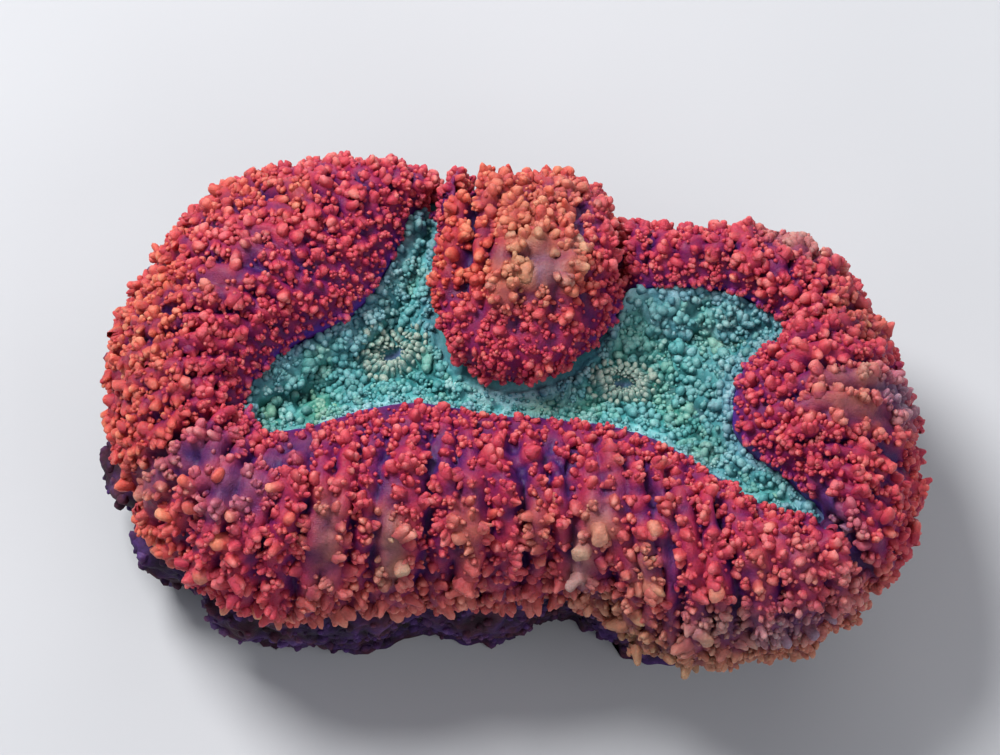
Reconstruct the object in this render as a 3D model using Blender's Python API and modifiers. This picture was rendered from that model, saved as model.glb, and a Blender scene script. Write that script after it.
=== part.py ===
"""Open brain coral: a fleshy, folded polyp that grew as one piece with its stony skeleton.

The flesh is a ring of swollen lobes round a sunken, four-armed oral disc. Its section is swept
round the coral, from the disc's edge over the crest and the rim and down the skeleton to the
flat cut that the coral rests on. All lengths here are millimetres until the mesh is made.
"""

import bmesh
import bpy
import numpy as np
from mathutils import Matrix, Vector, noise

MM = 0.001
NAME = "brain_coral"

# Heights above the flat cut
DISC_LEVEL = 24.0
RIM_LEVEL = 18.5
TUCK_LEVEL = 10.5
WAIST_LEVEL = 5.0

# The flesh's section: how far across it (as a share of its width) and how high (of its crest)
ROOT_INSET, ROOT_DEPTH = 0.9, 4.0
BULGE, BULGE_HEIGHT = 0.16, 0.30
SHOULDER_IN, SHOULDER_IN_HEIGHT = 0.20, 0.88
SHOULDER_OUT, SHOULDER_OUT_HEIGHT = 0.80, 0.70
UNDER_SHARE, UNDER_DROP = 0.94, 4.4

# The skeleton's outline under the flesh, as shares of the rim's outline
TUCK_SHARE, FOOT_SHARE = 0.84, 0.76
LEDGE_AT_FOOT = 0.88

# Each row: the disc's edge (x, y), the rim across the flesh from it (x, y), and the crest's
# height above the disc. They run clockwise, seen from above, from the cleft left of the knob.
STATIONS = np.array([
    (-8.1, 19.8, -6.5, 24.4, 3.5),
    (-6.8, 18.3, -5.4, 25.2, 4.5),
    (-7.1, 15.1, -4.4, 25.4, 5.5),
    (-7.7, 11.1, -2.8, 25.5, 6.8),
    (-7.2, 6.8, -0.8, 25.6, 8.0),
    (-4.7, 3.2, 0.9, 25.6, 8.8),
    (-0.4, 1.6, 2.8, 25.5, 9.0),
    (4.2, 2.3, 4.7, 25.2, 8.8),
    (7.5, 5.0, 6.4, 24.5, 7.8),
    (9.7, 8.9, 7.9, 23.1, 6.0),
    (10.9, 11.5, 9.6, 20.9, 4.0),
    (13.0, 11.9, 12.2, 19.9, 3.8),
    (16.3, 11.9, 15.8, 19.3, 4.4),
    (19.6, 11.7, 19.8, 19.3, 4.8),
    (22.9, 10.5, 24.3, 18.9, 4.8),
    (26.0, 8.3, 28.4, 17.8, 4.4),
    (26.4, 6.8, 31.9, 15.2, 4.2),
    (24.2, 5.0, 34.2, 11.9, 4.8),
    (22.0, 3.0, 36.2, 8.1, 5.8),
    (21.1, 0.0, 37.9, 3.6, 6.6),
    (21.3, -3.0, 38.3, -0.8, 6.6),
    (23.2, -5.3, 38.6, -5.2, 6.0),
    (25.8, -7.2, 38.3, -9.7, 5.2),
    (27.9, -9.7, 36.9, -13.7, 4.4),
    (28.9, -11.3, 34.4, -17.0, 3.5),
    (26.2, -11.2, 31.3, -19.6, 3.8),
    (22.9, -10.0, 27.3, -21.8, 4.4),
    (19.4, -7.8, 22.8, -22.8, 4.8),
    (15.8, -5.2, 18.0, -22.8, 5.2),
    (12.1, -3.4, 13.3, -21.4, 5.4),
    (7.8, -2.4, 9.0, -18.4, 5.6),
    (3.4, -1.9, 4.4, -16.8, 5.6),
    (-1.1, -1.6, -0.2, -17.2, 5.6),
    (-5.8, -0.8, -5.8, -17.3, 5.6),
    (-10.1, -0.3, -11.0, -17.6, 5.6),
    (-14.8, -1.3, -17.1, -18.5, 5.6),
    (-19.2, -2.7, -23.3, -18.4, 5.4),
    (-22.8, -3.1, -28.6, -16.3, 5.0),
    (-24.7, -2.0, -32.8, -12.4, 5.0),
    (-25.4, 0.0, -36.0, -7.4, 5.2),
    (-25.0, 1.9, -37.6, -1.6, 5.6),
    (-23.4, 3.8, -38.2, 3.8, 6.2),
    (-20.9, 5.8, -37.9, 9.2, 6.8),
    (-17.6, 7.6, -35.6, 13.8, 7.2),
    (-15.1, 9.3, -33.6, 17.8, 7.2),
    (-13.4, 11.3, -31.0, 21.6, 7.0),
    (-12.1, 13.6, -26.7, 24.3, 6.4),
    (-10.9, 16.1, -21.6, 25.7, 5.8),
    (-10.0, 18.1, -16.2, 25.8, 5.0),
    (-9.2, 19.4, -10.6, 25.6, 4.2),
])

# Clefts between the lobes: station, share of the crest's height lost, half width, rim's notch
CLEFTS = (
    (0.0, 0.92, 1.3, 2.2),
    (10.0, 0.88, 1.3, 1.6),
    (24.0, 0.92, 1.2, 1.8),
    (2.7, 0.30, 0.7, 0.5),
    (17.3, 0.22, 1.3, 0.5),
    (30.4, 0.12, 1.2, 0.4),
    (39.0, 0.16, 1.2, 0.5),
)

# Folds that run across the flesh from the disc to the rim, and ribs down the skeleton
FOLD_PITCH = 4.0
FOLD_HEIGHT = 1.5
FOLD_WAVER, RIB_WAVER = 0.5, 0.6
RIB_PITCH = 3.4
RIB_HEIGHT = 0.6
LUMP_HEIGHT = 1.5
LUMP_SCALE = 0.22

# Where along the section, counted in its control points, the flesh and the stone begin and end
FLESH_START, FLESH_FULL, FLESH_FADE, FLESH_END = 1.2, 3.2, 6.0, 7.0
STONE_START, STONE_FULL = 7.0, 7.7
KNOBS_START, KNOBS_END = 1.15, 6.3

# Fleshy knobs in rows along the folds
KNOB_STEP = 3.2
KNOB_GAP = 2.9
KNOB_RADIUS = (1.2, 1.5)
KNOB_SINK = 0.14
KNOB_LENGTH = 0.95
KNOB_LEAN = 0.1

# Oral disc
DISC_SAG = 1.9
DISC_EDGE = 1.4
DISC_GRID = 0.7
DISC_THICKNESS = 7.0
DISC_FALL = 5.0
DISC_WAVE = 0.35
DISC_WAVE_RUN = (1.1, 1.9)
DISC_KNOB_STEP = 2.5
DISC_KNOB_STRAY = 0.7
DISC_KNOB_RADIUS = (0.9, 1.2)
DISC_KNOB_LENGTH = 1.2
DISC_KNOB_RISE = 0.2
DISC_KNOB_INSET = 0.6
MOUTH_CLEAR = 0.8
MOUTH_RING, MOUTH_PIT = 0.9, 0.9
MOUTH_RING_AT, MOUTH_RING_WIDTH, MOUTH_PIT_WIDTH = 0.75, 0.4, 0.4
# Each mouth: centre x, y, half length, half width, turn in degrees
MOUTHS = (
    (-11.2, 4.6, 2.7, 1.7, 18.0),
    (10.8, 1.2, 2.4, 1.4, 5.0),
    (0.2, -0.4, 1.6, 0.9, 0.0),
)

# Ledges of the skeleton that stand out below the flesh: centre x, y, reach and push
LEDGES = (
    (-35.0, 18.5, 8.0, 8.6),
    (-38.5, -1.5, 7.5, 8.6),
    (-36.0, -10.0, 7.0, 8.0),
    (-28.0, -17.0, 8.0, 5.6),
    (-17.0, -18.5, 8.0, 4.6),
    (-4.0, -17.5, 9.0, 3.0),
)

# Fineness of the sweep, of the fused surface and of the finished solid
VOXEL = 0.55
TRIANGLES = 9400
ROWS_AROUND = 420
ROWS_ACROSS = 12


def smooth_step(x):
    x = np.clip(x, 0.0, 1.0)
    return x * x * (3.0 - 2.0 * x)


def catmull_rom(a, b, c, d, f):
    """The smooth curve from b to c, with neighbours a and d, at shares f of the way."""
    return b + 0.5 * f * (c - a + f * (2 * a - 5 * b + 4 * c - d + f * (3 * (b - c) + d - a)))


def round_loop(rows, where):
    """The closed curve through the rows, read at fractional row numbers."""
    first = np.floor(where).astype(int)
    a, b, c, d = (rows[(first + step) % len(rows)] for step in (-1, 0, 1, 2))
    return catmull_rom(a, b, c, d, (where - first)[:, None])


def girth_table():
    """Station numbers and the girth in mm that they are at, halfway between disc and rim."""
    where = np.linspace(0.0, len(STATIONS), 2000)
    loop = round_loop(STATIONS, where)
    middle = (loop[:, 0:2] + loop[:, 2:4]) / 2
    steps = np.linalg.norm(np.diff(middle, axis=0), axis=1)
    steps = steps + 0.25 * np.linalg.norm(np.diff(loop[:, 2:4], axis=0), axis=1)
    return where, np.concatenate([[0.0], np.cumsum(steps)])


def ledge_push(points):
    """How far the skeleton stands out past its plain outline, for points in plan."""
    push = np.zeros(len(points))
    for x, y, reach, height in LEDGES:
        away = np.linalg.norm(points - (x, y), axis=1) / reach
        push = np.maximum(push, height * np.exp(-away * away))
    return push


def section_points(where, girth, whole_girth):
    """Ten control points of the section at each station number, as an array (10, n, 3)."""
    loop = round_loop(STATIONS, where)
    inner, outer, crest = loop[:, 0:2], loop[:, 2:4], loop[:, 4]
    for station, loss, half_width, notch in CLEFTS:
        stations, girths = girth_table()
        gap = np.abs(girth - np.interp(station, stations, girths))
        gap = np.minimum(gap, whole_girth - gap) / half_width
        dip = np.exp(-gap * gap)
        crest = crest * (1.0 - loss * dip)
        outer = outer * (1.0 - (notch * dip / np.linalg.norm(outer, axis=1))[:, None])
    width = np.linalg.norm(outer - inner, axis=1)
    way = (outer - inner) / width[:, None]
    out = outer / np.linalg.norm(outer, axis=1)[:, None]
    tuck = outer * TUCK_SHARE + out * ledge_push(outer)[:, None]
    foot = outer * FOOT_SHARE + out * (LEDGE_AT_FOOT * ledge_push(outer))[:, None]
    top = DISC_LEVEL + crest

    def at(plan, height):
        return np.column_stack([plan, np.broadcast_to(height, len(plan))])

    def across(share, extra=0.0):
        return inner + way * (width * share + extra)[:, None]

    return np.array([
        at(across(0.0, ROOT_INSET), DISC_LEVEL - ROOT_DEPTH),
        at(across(0.0, -BULGE * crest), DISC_LEVEL + BULGE_HEIGHT * crest),
        at(across(SHOULDER_IN), DISC_LEVEL + SHOULDER_IN_HEIGHT * crest),
        at(across(0.5), top),
        at(across(SHOULDER_OUT), RIM_LEVEL + SHOULDER_OUT_HEIGHT * (top - RIM_LEVEL)),
        at(outer, RIM_LEVEL),
        at(outer * UNDER_SHARE, RIM_LEVEL - UNDER_DROP),
        at(tuck, TUCK_LEVEL),
        at((tuck + foot) / 2, WAIST_LEVEL),
        at(foot, 0.0),
    ])


def sweep(rows_around, rows_across):
    """The surface as a grid of points (across, around, 3), with how far across and its girth."""
    stations, girths = girth_table()
    girth = np.linspace(0.0, girths[-1], rows_around, endpoint=False)
    controls = section_points(np.interp(girth, girths, stations), girth, girths[-1])
    last = len(controls) - 1
    across = np.linspace(0.0, last, last * rows_across + 1)
    first = np.minimum(np.floor(across).astype(int), last - 1)
    ends = [controls[np.clip(first + step, 0, last)] for step in (-1, 0, 1, 2)]
    grid = catmull_rom(*ends, (across - first)[:, None, None])
    return grid, across, girth, girths[-1]


def grid_normals(grid):
    """Outward normals of a swept grid."""
    along = np.roll(grid, -1, axis=1) - np.roll(grid, 1, axis=1)
    across = np.gradient(grid, axis=0)
    normals = np.cross(along, across)
    return normals / np.maximum(np.linalg.norm(normals, axis=2, keepdims=True), 1e-9)


def add_folds(grid, across, girth, whole_girth):
    """Raises folds in the flesh and ribs in the skeleton, both running down the section."""
    folds = round(whole_girth / FOLD_PITCH)
    ribs = round(whole_girth / RIB_PITCH)
    turn = 2.0 * np.pi * girth / whole_girth
    fold = np.abs(np.sin(turn * folds / 2 + FOLD_WAVER * np.sin(3 * turn))) - 1.0
    rib = np.cos(turn * ribs + RIB_WAVER * np.sin(5 * turn))
    flesh = smooth_step((across - FLESH_START) / (FLESH_FULL - FLESH_START))
    flesh = flesh * smooth_step((FLESH_END - across) / (FLESH_END - FLESH_FADE))
    stone = smooth_step((across - STONE_START) / (STONE_FULL - STONE_START))
    lumps = np.zeros(grid.shape[:2])
    for row in np.flatnonzero(stone > 0):
        lumps[row] = [noise.noise(Vector(point) * LUMP_SCALE) for point in grid[row]]
    height = FOLD_HEIGHT * flesh[:, None] * fold
    height = height + stone[:, None] * (RIB_HEIGHT * rib + LUMP_HEIGHT * lumps)
    return grid + grid_normals(grid) * height[:, :, None]


def new_object(name, mesh):
    obj = bpy.data.objects.new(name, mesh)
    bpy.context.scene.collection.objects.link(obj)
    return obj


def flesh_and_stone():
    """The swept ring, closed by a flat floor under the disc and the flat cut below."""
    grid, across, girth, whole_girth = sweep(ROWS_AROUND, ROWS_ACROSS)
    grid = add_folds(grid, across, girth, whole_girth)
    rows, columns = grid.shape[:2]
    form = bmesh.new()
    points = [[form.verts.new(Vector(p) * MM) for p in row] for row in grid]
    for low, high in zip(points, points[1:]):
        for i in range(columns):
            j = (i + 1) % columns
            form.faces.new((low[i], low[j], high[j], high[i]))
    form.faces.new(points[0][::-1])
    form.faces.new(points[rows - 1])
    bmesh.ops.recalc_face_normals(form, faces=form.faces)
    mesh = bpy.data.meshes.new("flesh_and_stone")
    form.to_mesh(mesh)
    form.free()
    return new_object("flesh_and_stone", mesh), grid, across, girth


def edge_distance(points, outline):
    """Distance from points in plan to a closed outline, below zero outside it."""
    best = np.full(len(points), 1e9)
    inside = np.zeros(len(points), bool)
    for a, b in zip(outline, np.roll(outline, -1, axis=0)):
        run = b - a
        share = np.clip((points - a) @ run / (run @ run), 0.0, 1.0)
        best = np.minimum(best, np.linalg.norm(points - a - share[:, None] * run, axis=1))
        spans = (a[1] > points[:, 1]) != (b[1] > points[:, 1])
        rise = run[1] if abs(run[1]) > 1e-9 else 1e-9
        inside ^= spans & (points[:, 0] < a[0] + (points[:, 1] - a[1]) * run[0] / rise)
    return np.where(inside, best, -best)


def disc_height(points, depth):
    """Height of the oral disc at points in plan that lie this deep inside its edge."""
    height = DISC_LEVEL - DISC_SAG * smooth_step(depth / DISC_FALL)
    height = height + DISC_WAVE * np.sin(points @ DISC_WAVE_RUN) * smooth_step(depth)
    for x, y, long_half, short_half, turn in MOUTHS:
        c, s = np.cos(np.radians(turn)), np.sin(np.radians(turn))
        local = (points - (x, y)) @ np.array([[c, -s], [s, c]]) / (long_half, short_half)
        radius = np.linalg.norm(local, axis=1)
        height = height + MOUTH_RING * np.exp(-((radius - MOUTH_RING_AT) / MOUTH_RING_WIDTH) ** 2)
        height = height - MOUTH_PIT * np.exp(-((radius / MOUTH_PIT_WIDTH) ** 2))
    return height


def disc_outline():
    return round_loop(STATIONS, np.linspace(0.0, len(STATIONS), 200, endpoint=False))[:, 0:2]


def oral_disc():
    """The sunken disc as a thick sheet that reaches under the flesh all round."""
    outline = disc_outline()
    low, high = outline.min(0) - DISC_EDGE, outline.max(0) + DISC_EDGE
    counts = np.ceil((high - low) / DISC_GRID).astype(int) + 1
    xs, ys = (np.linspace(low[k], high[k], counts[k]) for k in (0, 1))
    plan = np.array([(x, y) for x in xs for y in ys])
    depth = edge_distance(plan, outline)
    height = disc_height(plan, depth)
    kept = (depth > -DISC_EDGE).reshape(counts)
    form = bmesh.new()
    points = [form.verts.new((x * MM, y * MM, z * MM)) for (x, y), z in zip(plan, height)]
    for i in range(counts[0] - 1):
        for j in range(counts[1] - 1):
            if kept[i:i + 2, j:j + 2].all():
                a = i * counts[1] + j
                b = a + counts[1]
                form.faces.new((points[a], points[b], points[b + 1], points[a + 1]))
    loose = [v for v in form.verts if not v.link_faces]
    bmesh.ops.delete(form, geom=loose, context="VERTS")
    pushed = bmesh.ops.extrude_face_region(form, geom=form.faces[:])
    for v in pushed["geom"]:
        if isinstance(v, bmesh.types.BMVert):
            v.co.z = (DISC_LEVEL - DISC_THICKNESS) * MM
    bmesh.ops.recalc_face_normals(form, faces=form.faces)
    mesh = bpy.data.meshes.new("oral_disc")
    form.to_mesh(mesh)
    form.free()
    return new_object("oral_disc", mesh)


def add_knob(form, place, axis, radius, length):
    """One fleshy knob: a small ball drawn out along the surface's normal."""
    turn = Vector(axis).to_track_quat("Z", "Y").to_matrix().to_4x4()
    stretch = Matrix.Diagonal((radius * MM, radius * MM, radius * length * MM, 1.0))
    where = Matrix.Translation(Vector(place) * MM)
    bmesh.ops.create_icosphere(form, subdivisions=2, radius=1.0, matrix=where @ turn @ stretch)


def flesh_knobs(grid, across, girth):
    """Knobs in rows along the folds, from the disc's edge over the crest and under the rim."""
    chance = np.random.default_rng(7)
    normals = grid_normals(grid)
    whole_girth = girth[-1] + girth[1]
    folds = round(whole_girth / FOLD_PITCH)
    form = bmesh.new()
    placed = np.full((1, 3), 1e3)
    for fold in range(folds):
        column = int((fold + 0.5) / folds * len(girth))
        line = grid[:, column]
        run = np.concatenate([[0.0], np.cumsum(np.linalg.norm(np.diff(line, axis=0), axis=1))])
        start, end = np.interp((KNOBS_START, KNOBS_END), across, run)
        for spot in np.arange(start + chance.uniform(0.0, KNOB_STEP / 2), end, KNOB_STEP):
            row = int(np.interp(spot, run, np.arange(len(run))))
            side = (column + chance.integers(-1, 2)) % len(girth)
            if np.linalg.norm(placed - grid[row, side], axis=1).min() < KNOB_GAP:
                continue
            placed = np.vstack([placed, grid[row, side]])
            radius = chance.uniform(*KNOB_RADIUS)
            normal = normals[row, side]
            place = grid[row, side] - normal * radius * KNOB_SINK
            add_knob(form, place, normal + chance.normal(0.0, KNOB_LEAN, 3), radius, KNOB_LENGTH)
    mesh = bpy.data.meshes.new("flesh_knobs")
    form.to_mesh(mesh)
    form.free()
    return new_object("flesh_knobs", mesh)


def disc_knobs():
    """Smaller beads all over the oral disc, left out of the mouths."""
    chance = np.random.default_rng(11)
    outline = disc_outline()
    low, high = outline.min(0), outline.max(0)
    xs, ys = (np.arange(low[k], high[k], DISC_KNOB_STEP) for k in (0, 1))
    plan = np.array([(x, y) for x in xs for y in ys])
    plan = plan + chance.uniform(-DISC_KNOB_STRAY, DISC_KNOB_STRAY, plan.shape)
    depth = edge_distance(plan, outline)
    height = disc_height(plan, depth)
    form = bmesh.new()
    for (x, y), z, deep in zip(plan, height, depth):
        near_mouth = any(np.hypot(x - m[0], y - m[1]) < MOUTH_CLEAR for m in MOUTHS)
        if deep > DISC_KNOB_INSET and not near_mouth:
            radius = chance.uniform(*DISC_KNOB_RADIUS)
            place = (x, y, z + DISC_KNOB_RISE * radius)
            add_knob(form, place, (0.0, 0.0, 1.0), radius, DISC_KNOB_LENGTH)
    mesh = bpy.data.meshes.new("disc_knobs")
    form.to_mesh(mesh)
    form.free()
    return new_object("disc_knobs", mesh)


def coral_material():
    material = bpy.data.materials.new("coral_flesh")
    material.use_nodes = True
    shader = material.node_tree.nodes["Principled BSDF"]
    shader.inputs["Base Color"].default_value = (0.72, 0.10, 0.09, 1.0)
    shader.inputs["Roughness"].default_value = 0.45
    shader.inputs["Metallic"].default_value = 0.0
    return material


def evaluated_mesh(obj):
    graph = bpy.context.evaluated_depsgraph_get()
    return bpy.data.meshes.new_from_object(obj.evaluated_get(graph))


def fuse(pieces):
    """One closed body from overlapping shapes, thinned to the triangle count it may have."""
    bpy.ops.object.select_all(action="DESELECT")
    for piece in pieces:
        piece.select_set(True)
    bpy.context.view_layer.objects.active = pieces[0]
    bpy.ops.object.join()
    coral = pieces[0]
    remesh = coral.modifiers.new("fuse", "REMESH")
    remesh.mode = "VOXEL"
    remesh.voxel_size = VOXEL * MM
    bpy.context.view_layer.update()
    faces = len(evaluated_mesh(coral).polygons)
    thin = coral.modifiers.new("thin", "DECIMATE")
    thin.ratio = TRIANGLES / (2.0 * faces)
    thin.use_collapse_triangulate = True
    return coral


def cut_flat_and_centre(coral):
    """Cuts the underside flat, and puts the middle of the box's foot on the origin."""
    mesh = evaluated_mesh(coral)
    coral.modifiers.clear()
    form = bmesh.new()
    form.from_mesh(mesh)
    cut = VOXEL * MM
    geometry = form.verts[:] + form.edges[:] + form.faces[:]
    bmesh.ops.bisect_plane(
        form, geom=geometry, plane_co=(0, 0, cut), plane_no=(0, 0, -1), clear_outer=True
    )
    rim = [edge for edge in form.edges if edge.is_boundary]
    bmesh.ops.holes_fill(form, edges=rim, sides=0)
    bmesh.ops.dissolve_degenerate(form, dist=1e-6, edges=form.edges[:])
    bmesh.ops.triangulate(form, faces=form.faces[:])
    corners = np.array([v.co for v in form.verts])
    low, high = corners.min(0), corners.max(0)
    foot = Vector(((low[0] + high[0]) / 2, (low[1] + high[1]) / 2, low[2]))
    bmesh.ops.translate(form, verts=form.verts[:], vec=-foot)
    form.to_mesh(mesh)
    form.free()
    coral.data = mesh
    print("The box's foot was centred on", [round(c / MM, 3) for c in foot], "mm")


def main():
    for obj in list(bpy.data.objects):
        bpy.data.objects.remove(obj)
    body, grid, across, girth = flesh_and_stone()
    coral = fuse([body, oral_disc(), flesh_knobs(grid, across, girth), disc_knobs()])
    cut_flat_and_centre(coral)
    coral.name = NAME
    coral.data.name = NAME
    coral.data.materials.clear()
    coral.data.materials.append(coral_material())
    coral.data.shade_smooth()
    coral.data.set_sharp_from_angle(angle=np.radians(55))
    collection = bpy.data.collections.new("brain_coral_parts")
    bpy.context.scene.collection.children.link(collection)
    for home in list(coral.users_collection):
        home.objects.unlink(coral)
    collection.objects.link(coral)


main()
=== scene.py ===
import itertools
import math

import bpy
import numpy as np
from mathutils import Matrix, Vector


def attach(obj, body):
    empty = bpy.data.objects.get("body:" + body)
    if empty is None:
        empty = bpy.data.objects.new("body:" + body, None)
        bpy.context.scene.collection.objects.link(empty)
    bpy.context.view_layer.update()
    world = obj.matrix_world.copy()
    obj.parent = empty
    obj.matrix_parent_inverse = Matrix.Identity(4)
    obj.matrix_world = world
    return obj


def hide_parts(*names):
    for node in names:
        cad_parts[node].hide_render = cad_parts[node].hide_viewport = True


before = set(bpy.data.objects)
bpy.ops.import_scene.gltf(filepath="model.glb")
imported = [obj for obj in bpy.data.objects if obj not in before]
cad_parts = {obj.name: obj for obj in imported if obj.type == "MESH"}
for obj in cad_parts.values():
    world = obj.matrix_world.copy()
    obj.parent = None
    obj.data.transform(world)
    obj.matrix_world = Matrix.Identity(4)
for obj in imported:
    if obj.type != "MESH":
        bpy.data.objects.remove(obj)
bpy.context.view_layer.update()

MM = 0.001

# The coral's own frame, in millimetres above the flat cut, meets the row frame here
BOX_FOOT = np.array([-0.491, 1.477, 0.55])

# Heights above the flat cut
DISC_LEVEL = 24.0
RIM_LEVEL = 18.5
TUCK_LEVEL = 10.5
WAIST_LEVEL = 5.0

# The flesh's section: how far across it (as a share of its width) and how high (of its crest)
ROOT_INSET, ROOT_DEPTH = 0.9, 4.0
BULGE, KNOB_BULGE, BULGE_HEIGHT = 0.02, 0.15, 0.30
KNOB_STATIONS = (1.5, 9.0)
SHOULDER_IN, SHOULDER_IN_HEIGHT = 0.20, 0.88
SHOULDER_OUT, SHOULDER_OUT_HEIGHT = 0.80, 0.70
UNDER_SHARE, UNDER_DROP = 0.94, 4.4
TUCK_SHARE, FOOT_SHARE = 0.84, 0.76
LEDGE_AT_FOOT = 0.88

# Each row: the disc's edge (x, y), the rim across the flesh from it (x, y), and the crest's
# height above the disc. They run clockwise, seen from above, from the cleft left of the knob.
STATIONS = np.array([
    (-8.1, 19.8, -6.5, 24.4, 3.5),
    (-6.8, 18.3, -5.4, 25.2, 4.5),
    (-7.1, 15.1, -4.4, 25.4, 5.5),
    (-7.7, 11.1, -2.8, 25.5, 6.8),
    (-7.2, 6.8, -0.8, 25.6, 8.0),
    (-4.7, 3.2, 0.9, 25.6, 8.8),
    (-0.4, 1.6, 2.8, 25.5, 9.0),
    (4.2, 2.3, 4.7, 25.2, 8.8),
    (7.5, 5.0, 6.4, 24.5, 7.8),
    (9.7, 8.9, 7.9, 23.1, 6.0),
    (10.9, 11.5, 9.6, 20.9, 4.0),
    (13.0, 11.9, 12.2, 19.9, 3.8),
    (16.3, 11.9, 15.8, 19.3, 4.4),
    (19.6, 11.7, 19.8, 19.3, 4.8),
    (22.9, 10.5, 24.3, 18.9, 4.8),
    (26.0, 8.3, 28.4, 17.8, 4.4),
    (26.4, 6.8, 31.9, 15.2, 4.2),
    (24.2, 5.0, 34.2, 11.9, 4.8),
    (22.0, 3.0, 36.2, 8.1, 5.8),
    (21.1, 0, 37.9, 3.6, 6.6),
    (21.3, -3.0, 38.3, -0.8, 6.6),
    (23.2, -5.3, 38.6, -5.2, 6.0),
    (25.8, -7.2, 38.3, -9.7, 5.2),
    (27.9, -9.7, 36.9, -13.7, 4.4),
    (28.9, -11.3, 34.4, -17.0, 3.5),
    (26.2, -11.2, 31.3, -19.6, 3.8),
    (22.9, -10.0, 27.3, -21.8, 4.4),
    (19.4, -7.8, 22.8, -22.8, 4.8),
    (15.8, -5.2, 18.0, -22.8, 5.2),
    (12.1, -3.4, 13.3, -21.4, 5.4),
    (7.8, -2.4, 9.0, -18.4, 5.6),
    (3.4, -1.9, 4.4, -16.8, 5.6),
    (-1.1, -1.6, -0.2, -17.2, 5.6),
    (-5.8, -0.8, -5.8, -17.3, 5.6),
    (-10.1, -0.3, -11.0, -17.6, 5.6),
    (-14.8, -1.3, -17.1, -18.5, 5.6),
    (-19.2, -2.7, -23.3, -18.4, 5.4),
    (-22.8, -3.1, -28.6, -16.3, 5.0),
    (-24.7, -2.0, -32.8, -12.4, 5.0),
    (-25.4, 0, -36.0, -7.4, 5.2),
    (-25.0, 1.9, -37.6, -1.6, 5.6),
    (-23.4, 3.8, -38.2, 3.8, 6.2),
    (-20.9, 5.8, -37.9, 9.2, 6.8),
    (-17.6, 7.6, -35.6, 13.8, 7.2),
    (-15.1, 9.3, -33.6, 17.8, 7.2),
    (-13.4, 11.3, -31.0, 21.6, 7.0),
    (-12.1, 13.6, -26.7, 24.3, 6.4),
    (-10.9, 16.1, -21.6, 25.7, 5.8),
    (-10.0, 18.1, -16.2, 25.8, 5.0),
    (-9.2, 19.4, -10.6, 25.6, 4.2),
])

# Clefts between the lobes: station, share of the crest's height lost, half width, rim's notch
CLEFTS = (
    (0, 0.92, 1.3, 2.2),
    (10.0, 0.88, 1.3, 1.6),
    (24.0, 0.92, 1.2, 1.8),
    (2.7, 0.20, 0.7, 0.5),
    (17.3, 0.22, 1.3, 0.5),
    (30.4, 0.12, 1.2, 0.4),
    (39.0, 0.16, 1.2, 0.5),
)

# Ledges of the skeleton that stand out below the flesh: centre x, y, reach and push
LEDGES = (
    (-35.0, 18.5, 8.0, 8.6),
    (-38.5, -1.5, 7.5, 8.6),
    (-36.0, -10.0, 7.0, 8.0),
    (-28.0, -17.0, 8.0, 5.6),
    (-17.0, -18.5, 8.0, 4.6),
    (-4.0, -17.5, 9.0, 3.0),
)

# Stations of furrows that show in the flesh, and the usual width of the folds between others
FURROW_STATIONS = (
    0.0, 2.7, 5.0, 8.0, 10.0, 17.3, 21.0, 24.0, 25.1, 26.22, 27.2, 28.4, 29.4, 30.68, 31.7,
    32.4, 33.45, 34.33, 35.6, 37.0, 39.0, 42.0, 45.0, 47.5,
)
FOLD_PITCH = 3.2
FOLD_HEIGHT = 1.9
FOLD_LUMPS = 0.8
NODULES = 0.42
SKIN_SINK = 0.35

# Where along the section, counted in its control points, the flesh's features begin and end
SKIN_FROM, SKIN_TO = 0.45, 6.35
HEM_FROM, HEM_TUCK = 6.05, 1.1
FOLDS_FROM, FOLDS_FULL = 1.15, 2.3
KNOBS_TO = 6.1
STONE_FROM, STONE_FREE, STONE_TO = 5.6, 6.4, 9.0

# Station, and where across the flesh the knobs begin there
KNOBS_FROM = np.array([
    (0, 1), (1.5, 0.95), (3.0, 0.75), (8.0, 0.75), (9.5, 1), (24.0, 1.1), (26.0, 1.28),
    (36.0, 1.3), (38.0, 1.05), (50.0, 0.97),
])
# The middle lobe's foot draws back this far, so that its knobs hang over the disc
FOOT_DRAW = 1.9

# Bare furrows in the flesh: plan points along each, its depth and its half width
FURROWS = (
    (((-3.4, 24.5), (-3.6, 19.0), (-4.3, 13.0), (-5.2, 8.6)), 1.3, 0.75),
    (((28.6, -10.2), (30.6, -13.0), (33.2, -15.6), (35.8, -17.6)), 0.5, 1),
    (((6.6, 22.0), (6.0, 16.0), (6.6, 11.0)), 0.8, 0.5),
    (((-6.4, -4.0), (-7.4, -9.0), (-8.2, -16.0)), 0.7, 0.5),
    (((0.6, -5.5), (1.0, -10.0), (1.1, -16.0)), 0.9, 0.6),
    (((3.8, -5.0), (5.0, -10.0), (5.6, -15.0)), 0.7, 0.45),
    (((12.6, -7.5), (14.4, -13.0), (15.1, -20.0)), 0.8, 0.55),
    (((19.0, -11.0), (20.0, -15.0), (21.0, -21.0)), 0.7, 0.5),
    (((-0.4, 11.8), (1.4, 11.5), (3.2, 11.6), (4.8, 12.0)), 0.45, 0.34),
    (((2.3, 11.2), (2.35, 9.8), (2.2, 8.6)), 0.4, 0.32),
)

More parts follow.
